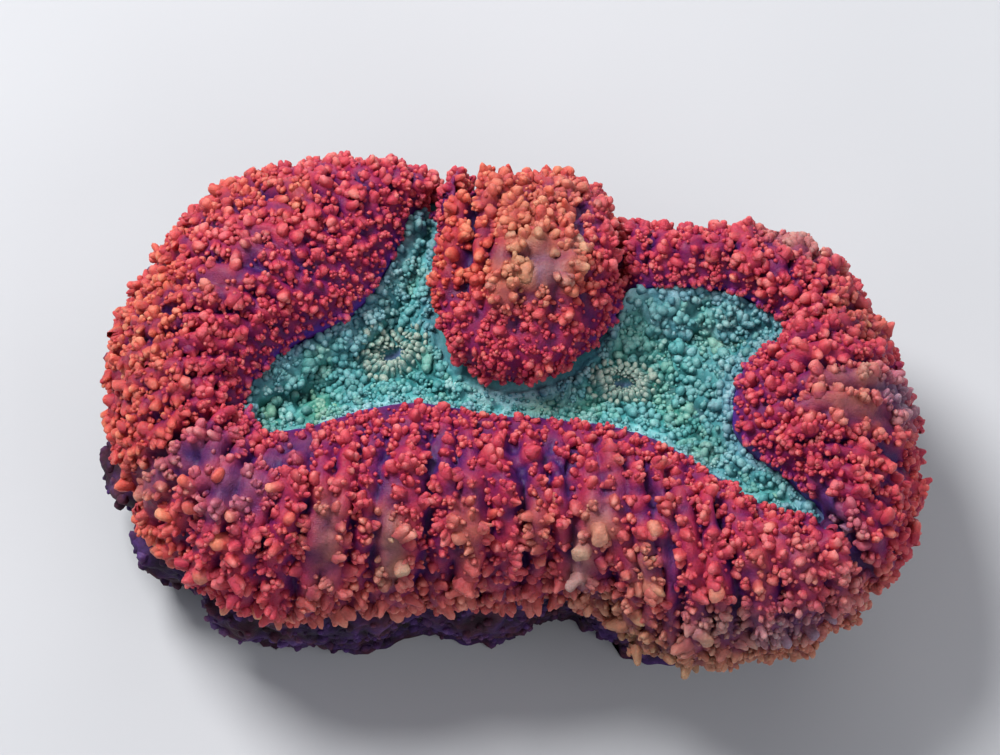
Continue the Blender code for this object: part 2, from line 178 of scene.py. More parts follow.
# Swollen smooth places: plan x, y, half length, half width, turn in degrees, height, bareness,
# and how tan, how orange and how blue-grey they are
SWELLS = (
    (2.2, 10.8, 3.6, 3.2, 15.0, 0.35, 1, 1.0, 0.15, 0),
    (3.6, 10.0, 1.3, 1.5, 0, 0.9, 1, 0.9, 0, 0.4),
    (1.0, 9.8, 1.2, 1.3, 0, 0.5, 1, 1.0, 0.4, 0),
    (1.8, 13.0, 2.4, 0.9, 4.0, 0.7, 0.9, 1, 0.3, 0),
    (6.0, 12.7, 1.1, 1.6, 0, 0.8, 0.8, 0.9, 0.2, 0.1),
    (-1.2, 11.4, 1, 1.6, 0, 0.6, 0.9, 0.8, 0.3, 0),
    (-0.7, 8.2, 1.5, 1.7, -10.0, 0.7, 0.9, 0.5, 0, 0.05),
    (0.8, 17.5, 4.2, 5.0, 0, 0.1, 0, 0.35, 0.9, 0),
    (5.5, 18.5, 3.0, 4.0, 0, 0, 0, 0.3, 0.7, 0.1),
    (32.0, -2.2, 4.8, 1.5, -4.0, 1.1, 1, 0.75, 0.2, 0),
    (32.0, 0.8, 3.8, 1.4, 8.0, 0.7, 0.8, 0.7, 0.2, 0.2),
    (31.6, -13.6, 4.6, 1, -52.0, 0.2, 0.6, 0, 0, 0.9),
    (36.4, 0.9, 2.6, 2.4, 60.0, 0.2, 0.7, 0.2, 0, 1),
    (32.6, 9.0, 3.0, 3.0, 0, 0.1, 0.1, 0.3, 0.3, 0),
    (27.0, 16.2, 4.0, 2.0, -20.0, 0.1, 0.1, 0.5, 0.1, 0.3),
    (-27.9, 9.9, 2.4, 1.8, 20.0, 0.5, 0.8, 0.35, 0, 0),
    (-24.6, 13.6, 2.0, 1.6, 40.0, 0.4, 0.6, 0.2, 0, 0.1),
    (-20.6, 19.2, 2.0, 2.0, 0, 0.4, 0.2, 0.2, 0.6, 0),
    (-26.0, 20.0, 5.0, 3.0, 30.0, 0, 0, 0.1, 0.8, 0),
    (-34.6, 6.0, 4.0, 8.0, 0, 0, 0, 0.15, 0.9, 0),
    (-30.0, -6.6, 4.5, 2.2, 10.0, 0.1, 0.9, 0, 0.1, 0.55),
    (-26.0, -9.8, 3.6, 2.6, 0, 0, 0.9, 0, 0.2, 0.65),
    (-20.8, -6.0, 3.0, 1.4, 35.0, 0, 0.9, 0, 0, 0.55),
    (-34.6, -7.6, 2.6, 1.6, -60.0, 0.5, 0.8, 0.5, 0.4, 0.2),
    (-11.4, -14.4, 1.5, 3.4, 5.0, 1, 0.95, 1, 0, 0.15),
    (-17.4, -14.2, 1.5, 3.8, -8.0, 0.8, 0.95, 0.8, 0, 0.15),
    (-4.2, -13.2, 1.5, 3.4, 0, 0.7, 0.6, 0.5, 0.1, 0),
    (2.2, -13.0, 1.3, 2.8, 0, 0.6, 0.5, 0.4, 0.2, 0),
    (8.4, -12.8, 1.6, 2.2, 10.0, 0.9, 0.9, 0.8, 0.1, 0.1),
    (6.6, -15.4, 1.4, 2.4, 10.0, 0.9, 0.9, 0.9, 0, 0.4),
    (12.4, -17.2, 1.6, 2.4, 10.0, 0.5, 0.4, 0.7, 0.1, 0),
    (9.6, -9.2, 1.8, 3.4, 15.0, 0.4, 0.6, 0.2, 0, 0),
    (15.2, -11.5, 1.6, 3.0, 12.0, 0.4, 0.5, 0.15, 0, 0),
    (26.5, -21.6, 6.0, 1.8, 14.0, 0.1, 0.3, 0.6, 0, 0.7),
    (20.0, -21.6, 5.0, 1.6, 0, 0, 0.1, 0.8, 0, 0.4),
    (31.0, -18.2, 2.4, 1.8, 40.0, 0.3, 0.5, 0.3, 0, 0.2),
    (27.0, -16.6, 2.0, 2.6, 20.0, 0.5, 0.4, 0.2, 0, 0.1),
    (23.0, -17.6, 1.6, 2.4, 10.0, 0.5, 0.4, 0.3, 0, 0),
    (36.6, -6.6, 2.2, 5.4, 0, 0.2, 0.7, 0, 0.3, 0),
    (34.6, -12.6, 2.2, 4.0, -30.0, 0.3, 0.7, 0, 0.2, 0),
)

# A knob's shape: shares of its length from below the skin to near its tip, and its radius there
KNOB_SHARES = np.array([-0.55, -0.02, 0.16, 0.36, 0.56, 0.74, 0.88])
ROUND_KNOB = np.array([0.90, 1.12, 0.94, 0.90, 0.90, 0.82, 0.58])
POINTED_KNOB = np.array([1.00, 1.32, 1.02, 0.78, 0.60, 0.44, 0.28])
KNOB_ROUGHNESS = 0.34
ROUGHEST_RADIUS = 0.55
KNOB_SQUASH = 0.2
ALL_RINGS, FEW_RINGS, LEAST_RINGS, LAST_RINGS = range(7), (0, 1, 3, 5, 6), (0, 2, 4, 6), (0, 3, 6)

# The skin swells up under each large knob: height and reach as shares of its radius
MOUND_HEIGHT, MOUND_REACH = 0.5, 1.5
MOUND_ROWS, MOUND_COLUMNS = 7, 5
MOUND_LARGEST = 0.85
# Painted light and shade: how much lighter the skin is on the mounds under knobs, and darker on the bare
# skin between them
MOUND_PAINTED_LIGHT_AND_SHADE = 0.3

# Knobs that stand out one by one: station, where across, radius, length, how pointed, and how
# tan, how orange and how blue-grey they are
CHOSEN_KNOBS = (
    (6.5, 3.7, 0.55, 1.3, 0.4, 0.1, 1, 0), (6.4, 3.3, 0.6, 1.3, 0.3, 0.1, 1, 0),
    (7.4, 3.5, 0.5, 1.5, 0.4, 0.1, 1, 0), (7.7, 4.1, 0.6, 1.3, 0.3, 0.1, 0.9, 0),
    (6.5, 4.5, 0.6, 1.2, 0.2, 0.2, 0.9, 0), (8.4, 4.0, 0.55, 1.3, 0.3, 0.1, 0.8, 0),
    (6.1, 2.5, 0.9, 0.5, 0, 0.65, 1, 0), (6.7, 2.75, 0.5, 0.6, 0, 0.9, 0.1, 0.1),
    (7.4, 2.5, 0.45, 1.5, 0.4, 0.9, 0.4, 0), (6.3, 2.95, 0.6, 0.6, 0, 0.9, 0.4, 0),
    (7.5, 2.9, 0.6, 0.7, 0, 0.9, 0.1, 0.2), (5.6, 2.9, 0.6, 0.6, 0, 0.8, 0.3, 0.1),
    (6.9, 3.1, 0.5, 0.5, 0, 0.3, 0, 0.8), (5.4, 2.3, 0.6, 0.5, 0, 0.6, 0.3, 0.1),
    (32.3, 3.6, 0.55, 1.6, 0.1, 0, 1, 0), (31.7, 4.0, 0.55, 1.7, 0.2, 0.1, 0.9, 0),
    (37.6, 3.0, 0.75, 1.2, 0, 0.1, 0.9, 0), (37.9, 3.5, 0.7, 1.2, 0, 0.1, 1, 0),
    (37.8, 3.8, 0.7, 1.2, 0, 0.2, 0.9, 0), (38.1, 4.3, 0.75, 1.3, 0.1, 0.2, 0.9, 0),
    (36.9, 4.1, 1, 1.4, 0, 0.1, 1, 0), (37.1, 4.6, 0.8, 1.2, 0.1, 0.6, 0.6, 0),
    (36.8, 3.5, 0.75, 1, 0, 0.3, 0.2, 0), (36.1, 2.8, 0.6, 1.4, 0, 0.2, 0.5, 0),
    (35.8, 2.7, 0.55, 1.2, 0, 0.2, 0.5, 0), (35.8, 3.4, 0.6, 1.3, 0, 0.1, 0.7, 0),
    (40.8, 4.9, 0.55, 1.3, 0.3, 0.2, 0.9, 0), (39.5, 4.9, 0.6, 1.6, 0.4, 0.2, 0.9, 0),
    (38.8, 4.9, 0.55, 1.5, 0.4, 0.2, 0.8, 0), (38.4, 4.9, 0.6, 1.5, 0.5, 0.3, 0.7, 0),
    (37.9, 5.0, 0.6, 1.6, 0.5, 0.4, 0.6, 0), (36.6, 5.1, 0.55, 1.4, 0.5, 0.5, 0.4, 0),
    (36.2, 5.1, 0.55, 1.4, 0.5, 0.6, 0.3, 0), (35.8, 5.2, 0.55, 1.3, 0.5, 0.7, 0.2, 0),
    (28.9, 4.1, 0.6, 1.4, 0.5, 0.9, 0.4, 0), (29.4, 4.7, 0.6, 1.4, 0.5, 0.9, 0.3, 0),
    (28.0, 4.5, 0.9, 1.3, 0.1, 0.9, 0.1, 0.1), (27.2, 4.7, 0.7, 1.8, 0.7, 0.9, 0, 0.3),
    (30.3, 4.0, 0.9, 1, 0, 1, 0, 0.2), (30.5, 4.4, 0.7, 1.6, 0.3, 0.9, 0, 0.5),
    (30.0, 3.6, 1, 1.0, 0, 0.6, 0, 0), (33.9, 4.3, 0.75, 1.2, 0.2, 1, 0, 0.2),
    (31.1, 3.4, 0.85, 1, 0, 0.6, 0.3, 0), (32.7, 3.9, 0.7, 1.1, 0.1, 0.4, 0.2, 0),
    (28.8, 3.2, 0.9, 1.1, 0, 0.5, 0.4, 0), (27.6, 3.8, 0.95, 1.1, 0, 0.1, 0.4, 0),
    (26.4, 4.6, 0.6, 1.5, 0.3, 0.3, 0, 1), (25.8, 4.7, 0.6, 1.5, 0.3, 0.3, 0, 1),
    (25.3, 4.6, 0.55, 1.4, 0.3, 0.4, 0, 1), (6.5, 1.35, 0.4, 1.1, 0.5, 0.1, 0.5, 0),
)

# Oral disc
DISC_SAG = 1.9
DISC_FALL = 5.0
DISC_EDGE = 1.7
DISC_GRID = 0.16
# Each mouth: centre x, y, half length, half width, turn in degrees, and height of its ring
MOUTHS = (
    (-11.3, 5.9, 2.3, 1.6, 18.0, 1),
    (10.6, 2.9, 2.2, 1.4, 5.0, 0.8),
    (0.2, -0.4, 1.4, 0.7, 0, 0.3),
)
# Rings of fingers round a mouth: how far out, count, radius, length and how far they lean in
MOUTH_RINGS = (
    (1.45, 24, 0.32, 0.7, 0.3),
    (1.20, 24, 0.28, 1, 0.8),
    (0.98, 22, 0.24, 0.9, 1.2),
    (0.74, 20, 0.19, 0.6, 1.3),
    (0.52, 14, 0.15, 0.4, 1.4),
)
# The disc's raised frilly shelf: station of its edge, and how wide the shelf is there
SHELF = np.array([
    (0, 0), (9.0, 0), (10.5, 3.6), (14.0, 4.4), (17.0, 3.5), (19.0, 1.5), (20.0, 0),
    (37.0, 0), (39.5, 1.6), (41.0, 2.6), (44.0, 3.0), (48.0, 2.8), (50.0, 0),
])
SHELF_RISE = 0.95

# Grains on the skeleton end this far above the cut, and rings close the cut at these shares
GRAIN_CLEARANCE = 1.0
CUT_RINGS = (0.97, 0.9, 0.8, 0.65, 0.45, 0.22)

# Seeds of the random draws, and how many places are tried and taken at most for each kind of knob
FLESH_SEED, DISC_SEED, MOUTH_SEED, GRAIN_SEED = 5, 17, 23, 29
LARGE_TRIES, MOST_LARGE = 18000, 4000
SMALL_TRIES, MOST_SMALL = 20000, 4600
BEAD_TRIES, MOST_BEADS = 26000, 1500
GRAIN_TRIES, MOST_GRAINS = 9000, 1500

# The lobes, and the station that each begins at
LOBES = {"middle": 0, "right": 10, "front": 24, "corner": 31, "left": 38}

# Fineness of the skin: mm round the coral, and rows from one control point to the next
ROUND_STEP = 0.4
ACROSS_ROWS = 19
# Fineness of the skeleton: mm round it and its rows in all, and the width of its ribs
STONE_STEP, STONE_ROWS, RIB_PITCH = 0.48, 74, 3.4
OUTLINE_POINTS = 260

# The camera: its height above the horizon, distance, picture scale and what it looks at
CAMERA_ELEVATION = 69.5
CAMERA_DISTANCE = 575.0
PICTURE_WIDTH = 1000 / 10.6
SENSOR_WIDTH = 36.0
AIM = np.array([-1.13, 1.99, 26.74])
# The floor's half size, and each lamp's name, place, width in metres and power
FLOOR_HALF = 4.0
LAMPS = (
    ("key", (-0.22, 0.20, 0.48), 0.22, 3.6),
    ("fill", (0.40, -0.35, 0.45), 0.5, 1.1),
    ("back", (0.10, 0.60, 0.25), 0.4, 1),
)


def ease(x, start=0.0, span=1.0):
    """A soft rise from 0 to 1 over the span from the start, or a fall where the span is negative."""
    x = np.clip((x - start) / span, 0, 1)
    return x * x * (3.0 - 2.0 * x)


def unit(vectors):
    return vectors / np.maximum(np.linalg.norm(vectors, axis=-1, keepdims=True), 1e-9)


def level(plan):
    """Points in plan as points in space."""
    return np.column_stack([plan, np.zeros(len(plan))])


def turned(degrees):
    """The matrix that turns points in plan."""
    c, s = math.cos(math.radians(degrees)), math.sin(math.radians(degrees))
    return np.array([[c, -s], [s, c]])


def oval_frame(plan, x, y, long_half, short_half, turn):
    """Points in plan in an oval's own frame, where its edge is the unit circle."""
    return (plan - (x, y)) @ turned(turn) / (long_half, short_half)


def mound(points, *oval):
    """A round bump from 1 in the oval's middle to 0 well outside it."""
    local = oval_frame(points[..., :2], *oval)
    return np.exp(-np.sum(local * local, axis=-1) ** 1.3)


def hash_noise(cells, seed):
    """A steady random number from -1 to 1 for each lattice cell."""
    n = cells[..., 0] * 374761393 + cells[..., 1] * 668265263 + cells[..., 2] * 1440662683
    n = (n + seed * 1013904223) & 0xFFFFFFFF
    n = ((n ^ (n >> 13)) * 1274126177) & 0xFFFFFFFF
    return ((n ^ (n >> 16)) & 0xFFFF) / 32767.5 - 1.0


def noise(points, size, seed=0):
    """Smooth noise from -1 to 1 whose features are about this size."""
    place = points / size
    cell = np.floor(place).astype(np.int64)
    part = place - cell
    part = part * part * (3.0 - 2.0 * part)
    total = np.zeros(points.shape[:-1])
    for corner in itertools.product((0, 1), repeat=3):
        weight = np.prod(np.where(corner, part, 1.0 - part), axis=-1)
        total += weight * hash_noise(cell + np.array(corner), seed)
    return total


def catmull_rom(a, b, c, d, f):
    """The smooth curve from b to c, with neighbours a and d, at shares f of the way."""
    return b + 0.5 * f * (c - a + f * (2 * a - 5 * b + 4 * c - d + f * (3 * (b - c) + d - a)))


def round_loop(rows, where):
    """The closed curve through the rows, read at fractional row numbers."""
    first = np.floor(where).astype(int)
    a, b, c, d = (rows[(first + step) % len(rows)] for step in (-1, 0, 1, 2))
    return catmull_rom(a, b, c, d, (where - first)[:, None])


def girth_table():
    """Station numbers and the girth in mm that they are at, halfway between disc and rim."""
    where = np.linspace(0, len(STATIONS), 2000)
    loop = round_loop(STATIONS, where)
    middle = (loop[:, 0:2] + loop[:, 2:4]) / 2
    steps = np.linalg.norm(np.diff(middle, axis=0), axis=1)
    steps = steps + 0.25 * np.linalg.norm(np.diff(loop[:, 2:4], axis=0), axis=1)
    return where, np.concatenate([[0.0], np.cumsum(steps)])


TABLE_STATIONS, TABLE_GIRTHS = girth_table()
WHOLE_GIRTH = TABLE_GIRTHS[-1]


def girth_at(station):
    return np.interp(station, TABLE_STATIONS, TABLE_GIRTHS)


def station_at(girth):
    return np.interp(girth, TABLE_GIRTHS, TABLE_STATIONS)


def middle_lobe(station):
    """1 on the middle lobe and 0 on the others."""
    return ease(station, KNOB_STATIONS[0], 1.5) * ease(station, KNOB_STATIONS[1], -1.5)


def ledge_push(points):
    """How far the skeleton stands out past its plain outline, for points in plan."""
    push = np.zeros(len(points))
    for x, y, reach, height in LEDGES:
        away = np.linalg.norm(points - (x, y), axis=1) / reach
        push = np.maximum(push, height * np.exp(-away * away))
    return push


def section_points(where, girth):
    """Ten control points of the section at each station number, as an array (10, n, 3)."""
    loop = round_loop(STATIONS, where)
    inner, outer, crest = loop[:, 0:2], loop[:, 2:4], loop[:, 4]
    for station, loss, half_width, notch in CLEFTS:
        gap = np.abs(girth - girth_at(station))
        gap = np.minimum(gap, WHOLE_GIRTH - gap) / half_width
        dip = np.exp(-gap * gap)
        crest = crest * (1 - loss * dip)
        outer = outer * (1 - (notch * dip / np.linalg.norm(outer, axis=1))[:, None])
    width = np.linalg.norm(outer - inner, axis=1)
    way = (outer - inner) / width[:, None]
    out = outer / np.linalg.norm(outer, axis=1)[:, None]
    tuck = outer * TUCK_SHARE + out * ledge_push(outer)[:, None]
    foot = outer * FOOT_SHARE + out * (LEDGE_AT_FOOT * ledge_push(outer))[:, None]
    top = DISC_LEVEL + crest
    bulge = BULGE + (KNOB_BULGE - BULGE) * middle_lobe(where)

    def at(plan, height):
        return np.column_stack([plan, np.broadcast_to(height, len(plan))])

    def across(share, extra=0.0):
        return inner + way * (width * share + extra)[:, None]

    return np.array([
        at(across(0, ROOT_INSET), DISC_LEVEL - ROOT_DEPTH),
        at(across(0, -bulge * crest), DISC_LEVEL + BULGE_HEIGHT * crest),
        at(across(SHOULDER_IN), DISC_LEVEL + SHOULDER_IN_HEIGHT * crest),
        at(across(0.5), top),
        at(across(SHOULDER_OUT), RIM_LEVEL + SHOULDER_OUT_HEIGHT * (top - RIM_LEVEL)),
        at(outer, RIM_LEVEL),
        at(outer * UNDER_SHARE, RIM_LEVEL - UNDER_DROP),
        at(tuck, TUCK_LEVEL),
        at((tuck + foot) / 2, WAIST_LEVEL),
        at(foot, 0),
    ])


def sweep(across, girth):
    """The smooth surface as a grid of points (across, around, 3)."""
    controls = section_points(station_at(girth), girth)
    last = len(controls) - 1
    first = np.minimum(np.floor(across).astype(int), last - 1)
    ends = [controls[np.clip(first + step, 0, last)] for step in (-1, 0, 1, 2)]
    return catmull_rom(*ends, (across - first)[:, None, None])


def grid_normals(grid):
    """Outward normals of a swept grid."""
    along = np.roll(grid, -1, axis=1) - np.roll(grid, 1, axis=1)
    return unit(np.cross(along, np.gradient(grid, axis=0)))


def fold_phase(girth):
    """Counts the furrows passed on the way round, with further ones between those that show."""
    marks = girth_at((*FURROW_STATIONS, len(STATIONS)))
    furrows = [0.0]
    for a, b in zip(marks, marks[1:]):
        furrows.extend(np.linspace(a, b, max(1, round((b - a) / FOLD_PITCH - 0.3)) + 1)[1:])
    return np.interp(girth, furrows, np.arange(len(furrows)))


def line_distance(plan, a, b):
    """Distance from points in plan to the line from a to b, and the share along it they are at."""
    run = b - a
    share = np.clip((plan - a) @ run / (run @ run), 0, 1)
    return np.linalg.norm(plan - a - share[..., None] * run, axis=-1), share


def path_distance(plan, path):
    """Distance from points in plan to a path of several lines."""
    ends = zip(np.array(path), np.array(path)[1:])
    return np.min([line_distance(plan, a, b)[0] for a, b in ends], axis=0)


def flesh_surface():
    """The flesh's skin as a finished grid, with the maps that colour and knobs follow."""
    girth = np.linspace(0, WHOLE_GIRTH, round(WHOLE_GIRTH / ROUND_STEP), endpoint=False)
    across = np.linspace(SKIN_FROM, SKIN_TO, round((SKIN_TO - SKIN_FROM) * ACROSS_ROWS))
    grid = sweep(across, girth)
    x, y, z = np.moveaxis(grid, -1, 0)
    out = across[:, None]
    up = ease(z, RIM_LEVEL, 3.0)

    drift = 0.24 * noise(grid, 6.0, 3) + 0.14 * noise(grid, 2.6, 4)
    ridge = np.abs(np.sin(np.pi * (fold_phase(girth) + drift))) ** 0.7
    flesh = ease(out, FOLDS_FROM, FOLDS_FULL - FOLDS_FROM)
    rise, bare, pale, warm, cool = np.zeros((5, *grid.shape[:2]))
    for *oval, swell, smooth, tan, orange, grey in SWELLS:
        bump = mound(grid, *oval) * up
        rise += swell * bump
        for tint, most in ((bare, smooth), (pale, tan), (warm, orange), (cool, grey)):
            np.maximum(tint, most * bump, out=tint)
    folded = flesh * (0.75 + 0.55 * noise(grid, 4.5, 5)) * (1 - 0.75 * bare)
    height = rise + FOLD_HEIGHT * folded * (ridge - 0.8)
    height += FOLD_LUMPS * flesh * ridge * np.maximum(noise(grid, 2.3, 6), -0.35)
    height -= SKIN_SINK * ease(out, 1)
    nodules = np.maximum(noise(grid, 1.3, 8), -0.2) + 0.5 * np.maximum(noise(grid, 0.8, 17), 0)
    height += NODULES * flesh * nodules + 0.12 * noise(grid, 0.7, 9)
    middle = middle_lobe(station_at(girth))
    height -= FOOT_DRAW * middle * ease(out, 1.6, -0.6)

    furrow = np.zeros(grid.shape[:2])
    wavy = (grid + 0.35 * noise(grid, 3.0, 12)[..., None])[..., :2]
    for path, depth, half_width in FURROWS:
        gap = path_distance(wavy, path) / half_width
        dip = np.exp(-gap * gap) * up
        height -= depth * dip
        furrow = np.maximum(furrow, dip)
        bare = np.maximum(bare, ease(1.6 * dip))
    height -= HEM_TUCK * ease(out, HEM_FROM, SKIN_TO - HEM_FROM)
    # The front of the rim pales to tan, and most at the right; the left side and the back turn orange
    front = ease(y, -12.0, -6.0) * ease(out, 3.9, 1.2)
    side = ease(x, -24.0, 8.0) * (0.5 + 0.5 * ease(x, 1, 6.0))
    pale = np.maximum(pale, front * side * (0.75 + 0.4 * noise(grid, 4.0, 14)))
    warm = np.maximum(warm, 0.75 * ease(x, -28.0, -6.0))
    warm = np.maximum(warm, 0.8 * middle * ease(y, 5.0, 5.0))
    warm = np.clip(warm + 0.25 * noise(grid, 3.5, 15), 0, 1)

    done = grid + grid_normals(grid) * height[..., None]
    edge = np.exp(-(((out - 0.98) / 0.17) ** 2)) * (1 - middle)
    # Painted light and shade in the skin's lift: lighter on ridges, raised places and nodules, and darker
    # in the furrows between them. The pale bare places are lighter in their own tone, and the skin is a
    # little lighter on the middle lobe and towards the front.
    lift = 0.34 + (0.16 * (ridge - 0.5) * (1 - bare) + 0.12 * height + 0.3 * nodules) * flesh
    lift += 0.3 * pale * bare + 0.07 * middle + 0.03 * ease(y, -3.0, -4.0)
    maps = {
        "lift": np.clip(lift, 0, 0.62),
        "warm": warm, "pale": pale, "cool": cool, "furrow": furrow, "edge": edge,
    }
    return done, grid_normals(done), across, girth, ridge, bare, maps


def mesh_object(name, points, faces, attributes, material):
    """A smooth-shaded mesh piece from arrays of points in mm, faces and named values."""
    mesh = bpy.data.meshes.new(name)
    mesh.from_pydata(((points - BOX_FOOT) * MM).tolist(), [], faces.tolist())
    for key, values in attributes.items():
        layer = mesh.attributes.new(key, "FLOAT", "POINT")
        layer.data.foreach_set("value", np.ascontiguousarray(values, np.float32).ravel())
    mesh.shade_smooth()
    mesh.materials.append(material)
    piece = add_object(name, mesh)
    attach(piece, "root")
    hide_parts("brain_coral")


def add_object(name, data):
    thing = bpy.data.objects.new(name, data)
    bpy.context.scene.collection.objects.link(thing)
    return thing


def grid_faces(rows, columns, closed=True):
    """Quads of a grid stored row by row; closed grids meet themselves round the columns."""
    i, j = np.ogrid[: rows - 1, : columns if closed else columns - 1]
    a, b = i * columns + j, i * columns + (j + 1) % columns
    return np.stack([a, b, b + columns, a + columns], -1).reshape(-1, 4)


class Knobs:
    """Many small knobs of flesh: where each stands, its shape, and its values for colour."""

    def __init__(self, place, axis, radius, length, point, lean, rings, sides, values):
        self.forms = place, axis, radius, length, point, lean
        self.rings, self.sides, self.values = list(rings), sides, values

    def only(self, mine):
        values = {key: val[mine] for key, val in self.values.items()}
        return Knobs(*(form[mine] for form in self.forms), self.rings, self.sides, values)

    def shares(self):
        """Share of the knob's length at each of its points."""
        return np.append(np.repeat(KNOB_SHARES[self.rings], self.sides), 1)

    def points(self):
        """The knobs' points, as an array (knobs, points in one, 3)."""
        place, axis, radius, length, point, lean = self.forms
        shares, count = KNOB_SHARES[self.rings], len(place)
        helper = np.where(np.abs(axis[:, 2:]) < 0.9, (0, 0, 1), (1.0, 0, 0))
        side = unit(np.cross(axis, helper))
        other = np.cross(axis, side)
        angle = np.arange(self.sides) * 2 * np.pi / self.sides
        point = point[:, None]
        profile = ROUND_KNOB[self.rings] * (1 - point) + POINTED_KNOB[self.rings] * point
        squash = 2 * angle + 6.0 * lean[:, :1, None] + 2.0 * shares[:, None]
        ring = (profile * radius[:, None])[..., None] * (1 + KNOB_SQUASH * np.sin(squash))
        bend = lean * (radius * 0.55)[:, None]
        shift = bend[:, None, :] * np.maximum(shares, 0)[:, None] ** 2
        up = length[:, None] * shares
        points = (
            place[:, None, None, :]
            + axis[:, None, None, :] * up[:, :, None, None]
            + side[:, None, None, :] * (ring * np.cos(angle) + shift[:, :, :1])[..., None]
            + other[:, None, None, :] * (ring * np.sin(angle) + shift[:, :, 1:])[..., None]
        )
        tips = place + axis * length[:, None] + side * bend[:, :1] + other * bend[:, 1:]
        points = np.concatenate([points.reshape(count, -1, 3), tips[:, None, :]], axis=1)
        middle = (place + axis * (0.4 * length)[:, None])[:, None, :]
        rough = KNOB_ROUGHNESS * np.minimum(radius, ROUGHEST_RADIUS)
        swell = rough[:, None] * noise(points, 0.6, 21)
        return points + unit(points - middle) * swell[..., None]

    def faces(self):
        """One knob's triangles."""
        faces = []
        for r in range(len(self.rings) - 1):
            for s in range(self.sides):
                a, b = r * self.sides + s, r * self.sides + (s + 1) % self.sides
                faces += [(a, b, b + self.sides), (a, b + self.sides, a + self.sides)]
        top = len(self.rings) * self.sides
        ring = top - self.sides
        faces += [(ring + s, ring + (s + 1) % self.sides, top) for s in range(self.sides)]
        return np.array(faces)


def knobs_object(name, groups, material):
    """One mesh piece from several groups of knobs."""
    points, faces, values, start = [], [], {}, 0
    for group in groups:
        spots = group.points()
        count, each = spots.shape[:2]
        points.append(spots.reshape(-1, 3))
        faces.append((group.faces()[None] + start + np.arange(count)[:, None, None] * each).reshape(-1, 3))
        start += count * each
        share = np.clip(group.shares(), 0, 1)
        for key, val in group.values.items():
            low, high = val[:, :1], val[:, 1:]
            values.setdefault(key, []).append((low + (high - low) * share[None, :] ** 0.8).ravel())
    joined = {key: np.concatenate(val) for key, val in values.items()}
    mesh_object(name, np.concatenate(points), np.concatenate(faces), joined, material)


def scatter(points, spacing, most):
    """Numbers of points taken in their order, each at least its spacing from those before."""
    kept = np.empty((most, 3))
    reach = np.empty(most)
    index = []
    for k in range(len(points)):
        n = len(index)
        gap = kept[:n] - points[k]
        near = np.einsum("ij,ij->i", gap, gap) < (0.5 * (reach[:n] + spacing[k])) ** 2
        if near.any():
            continue
        kept[n] = points[k]
        reach[n] = spacing[k]
        index.append(k)
        if n + 1 == most:
            break
    return np.array(index)


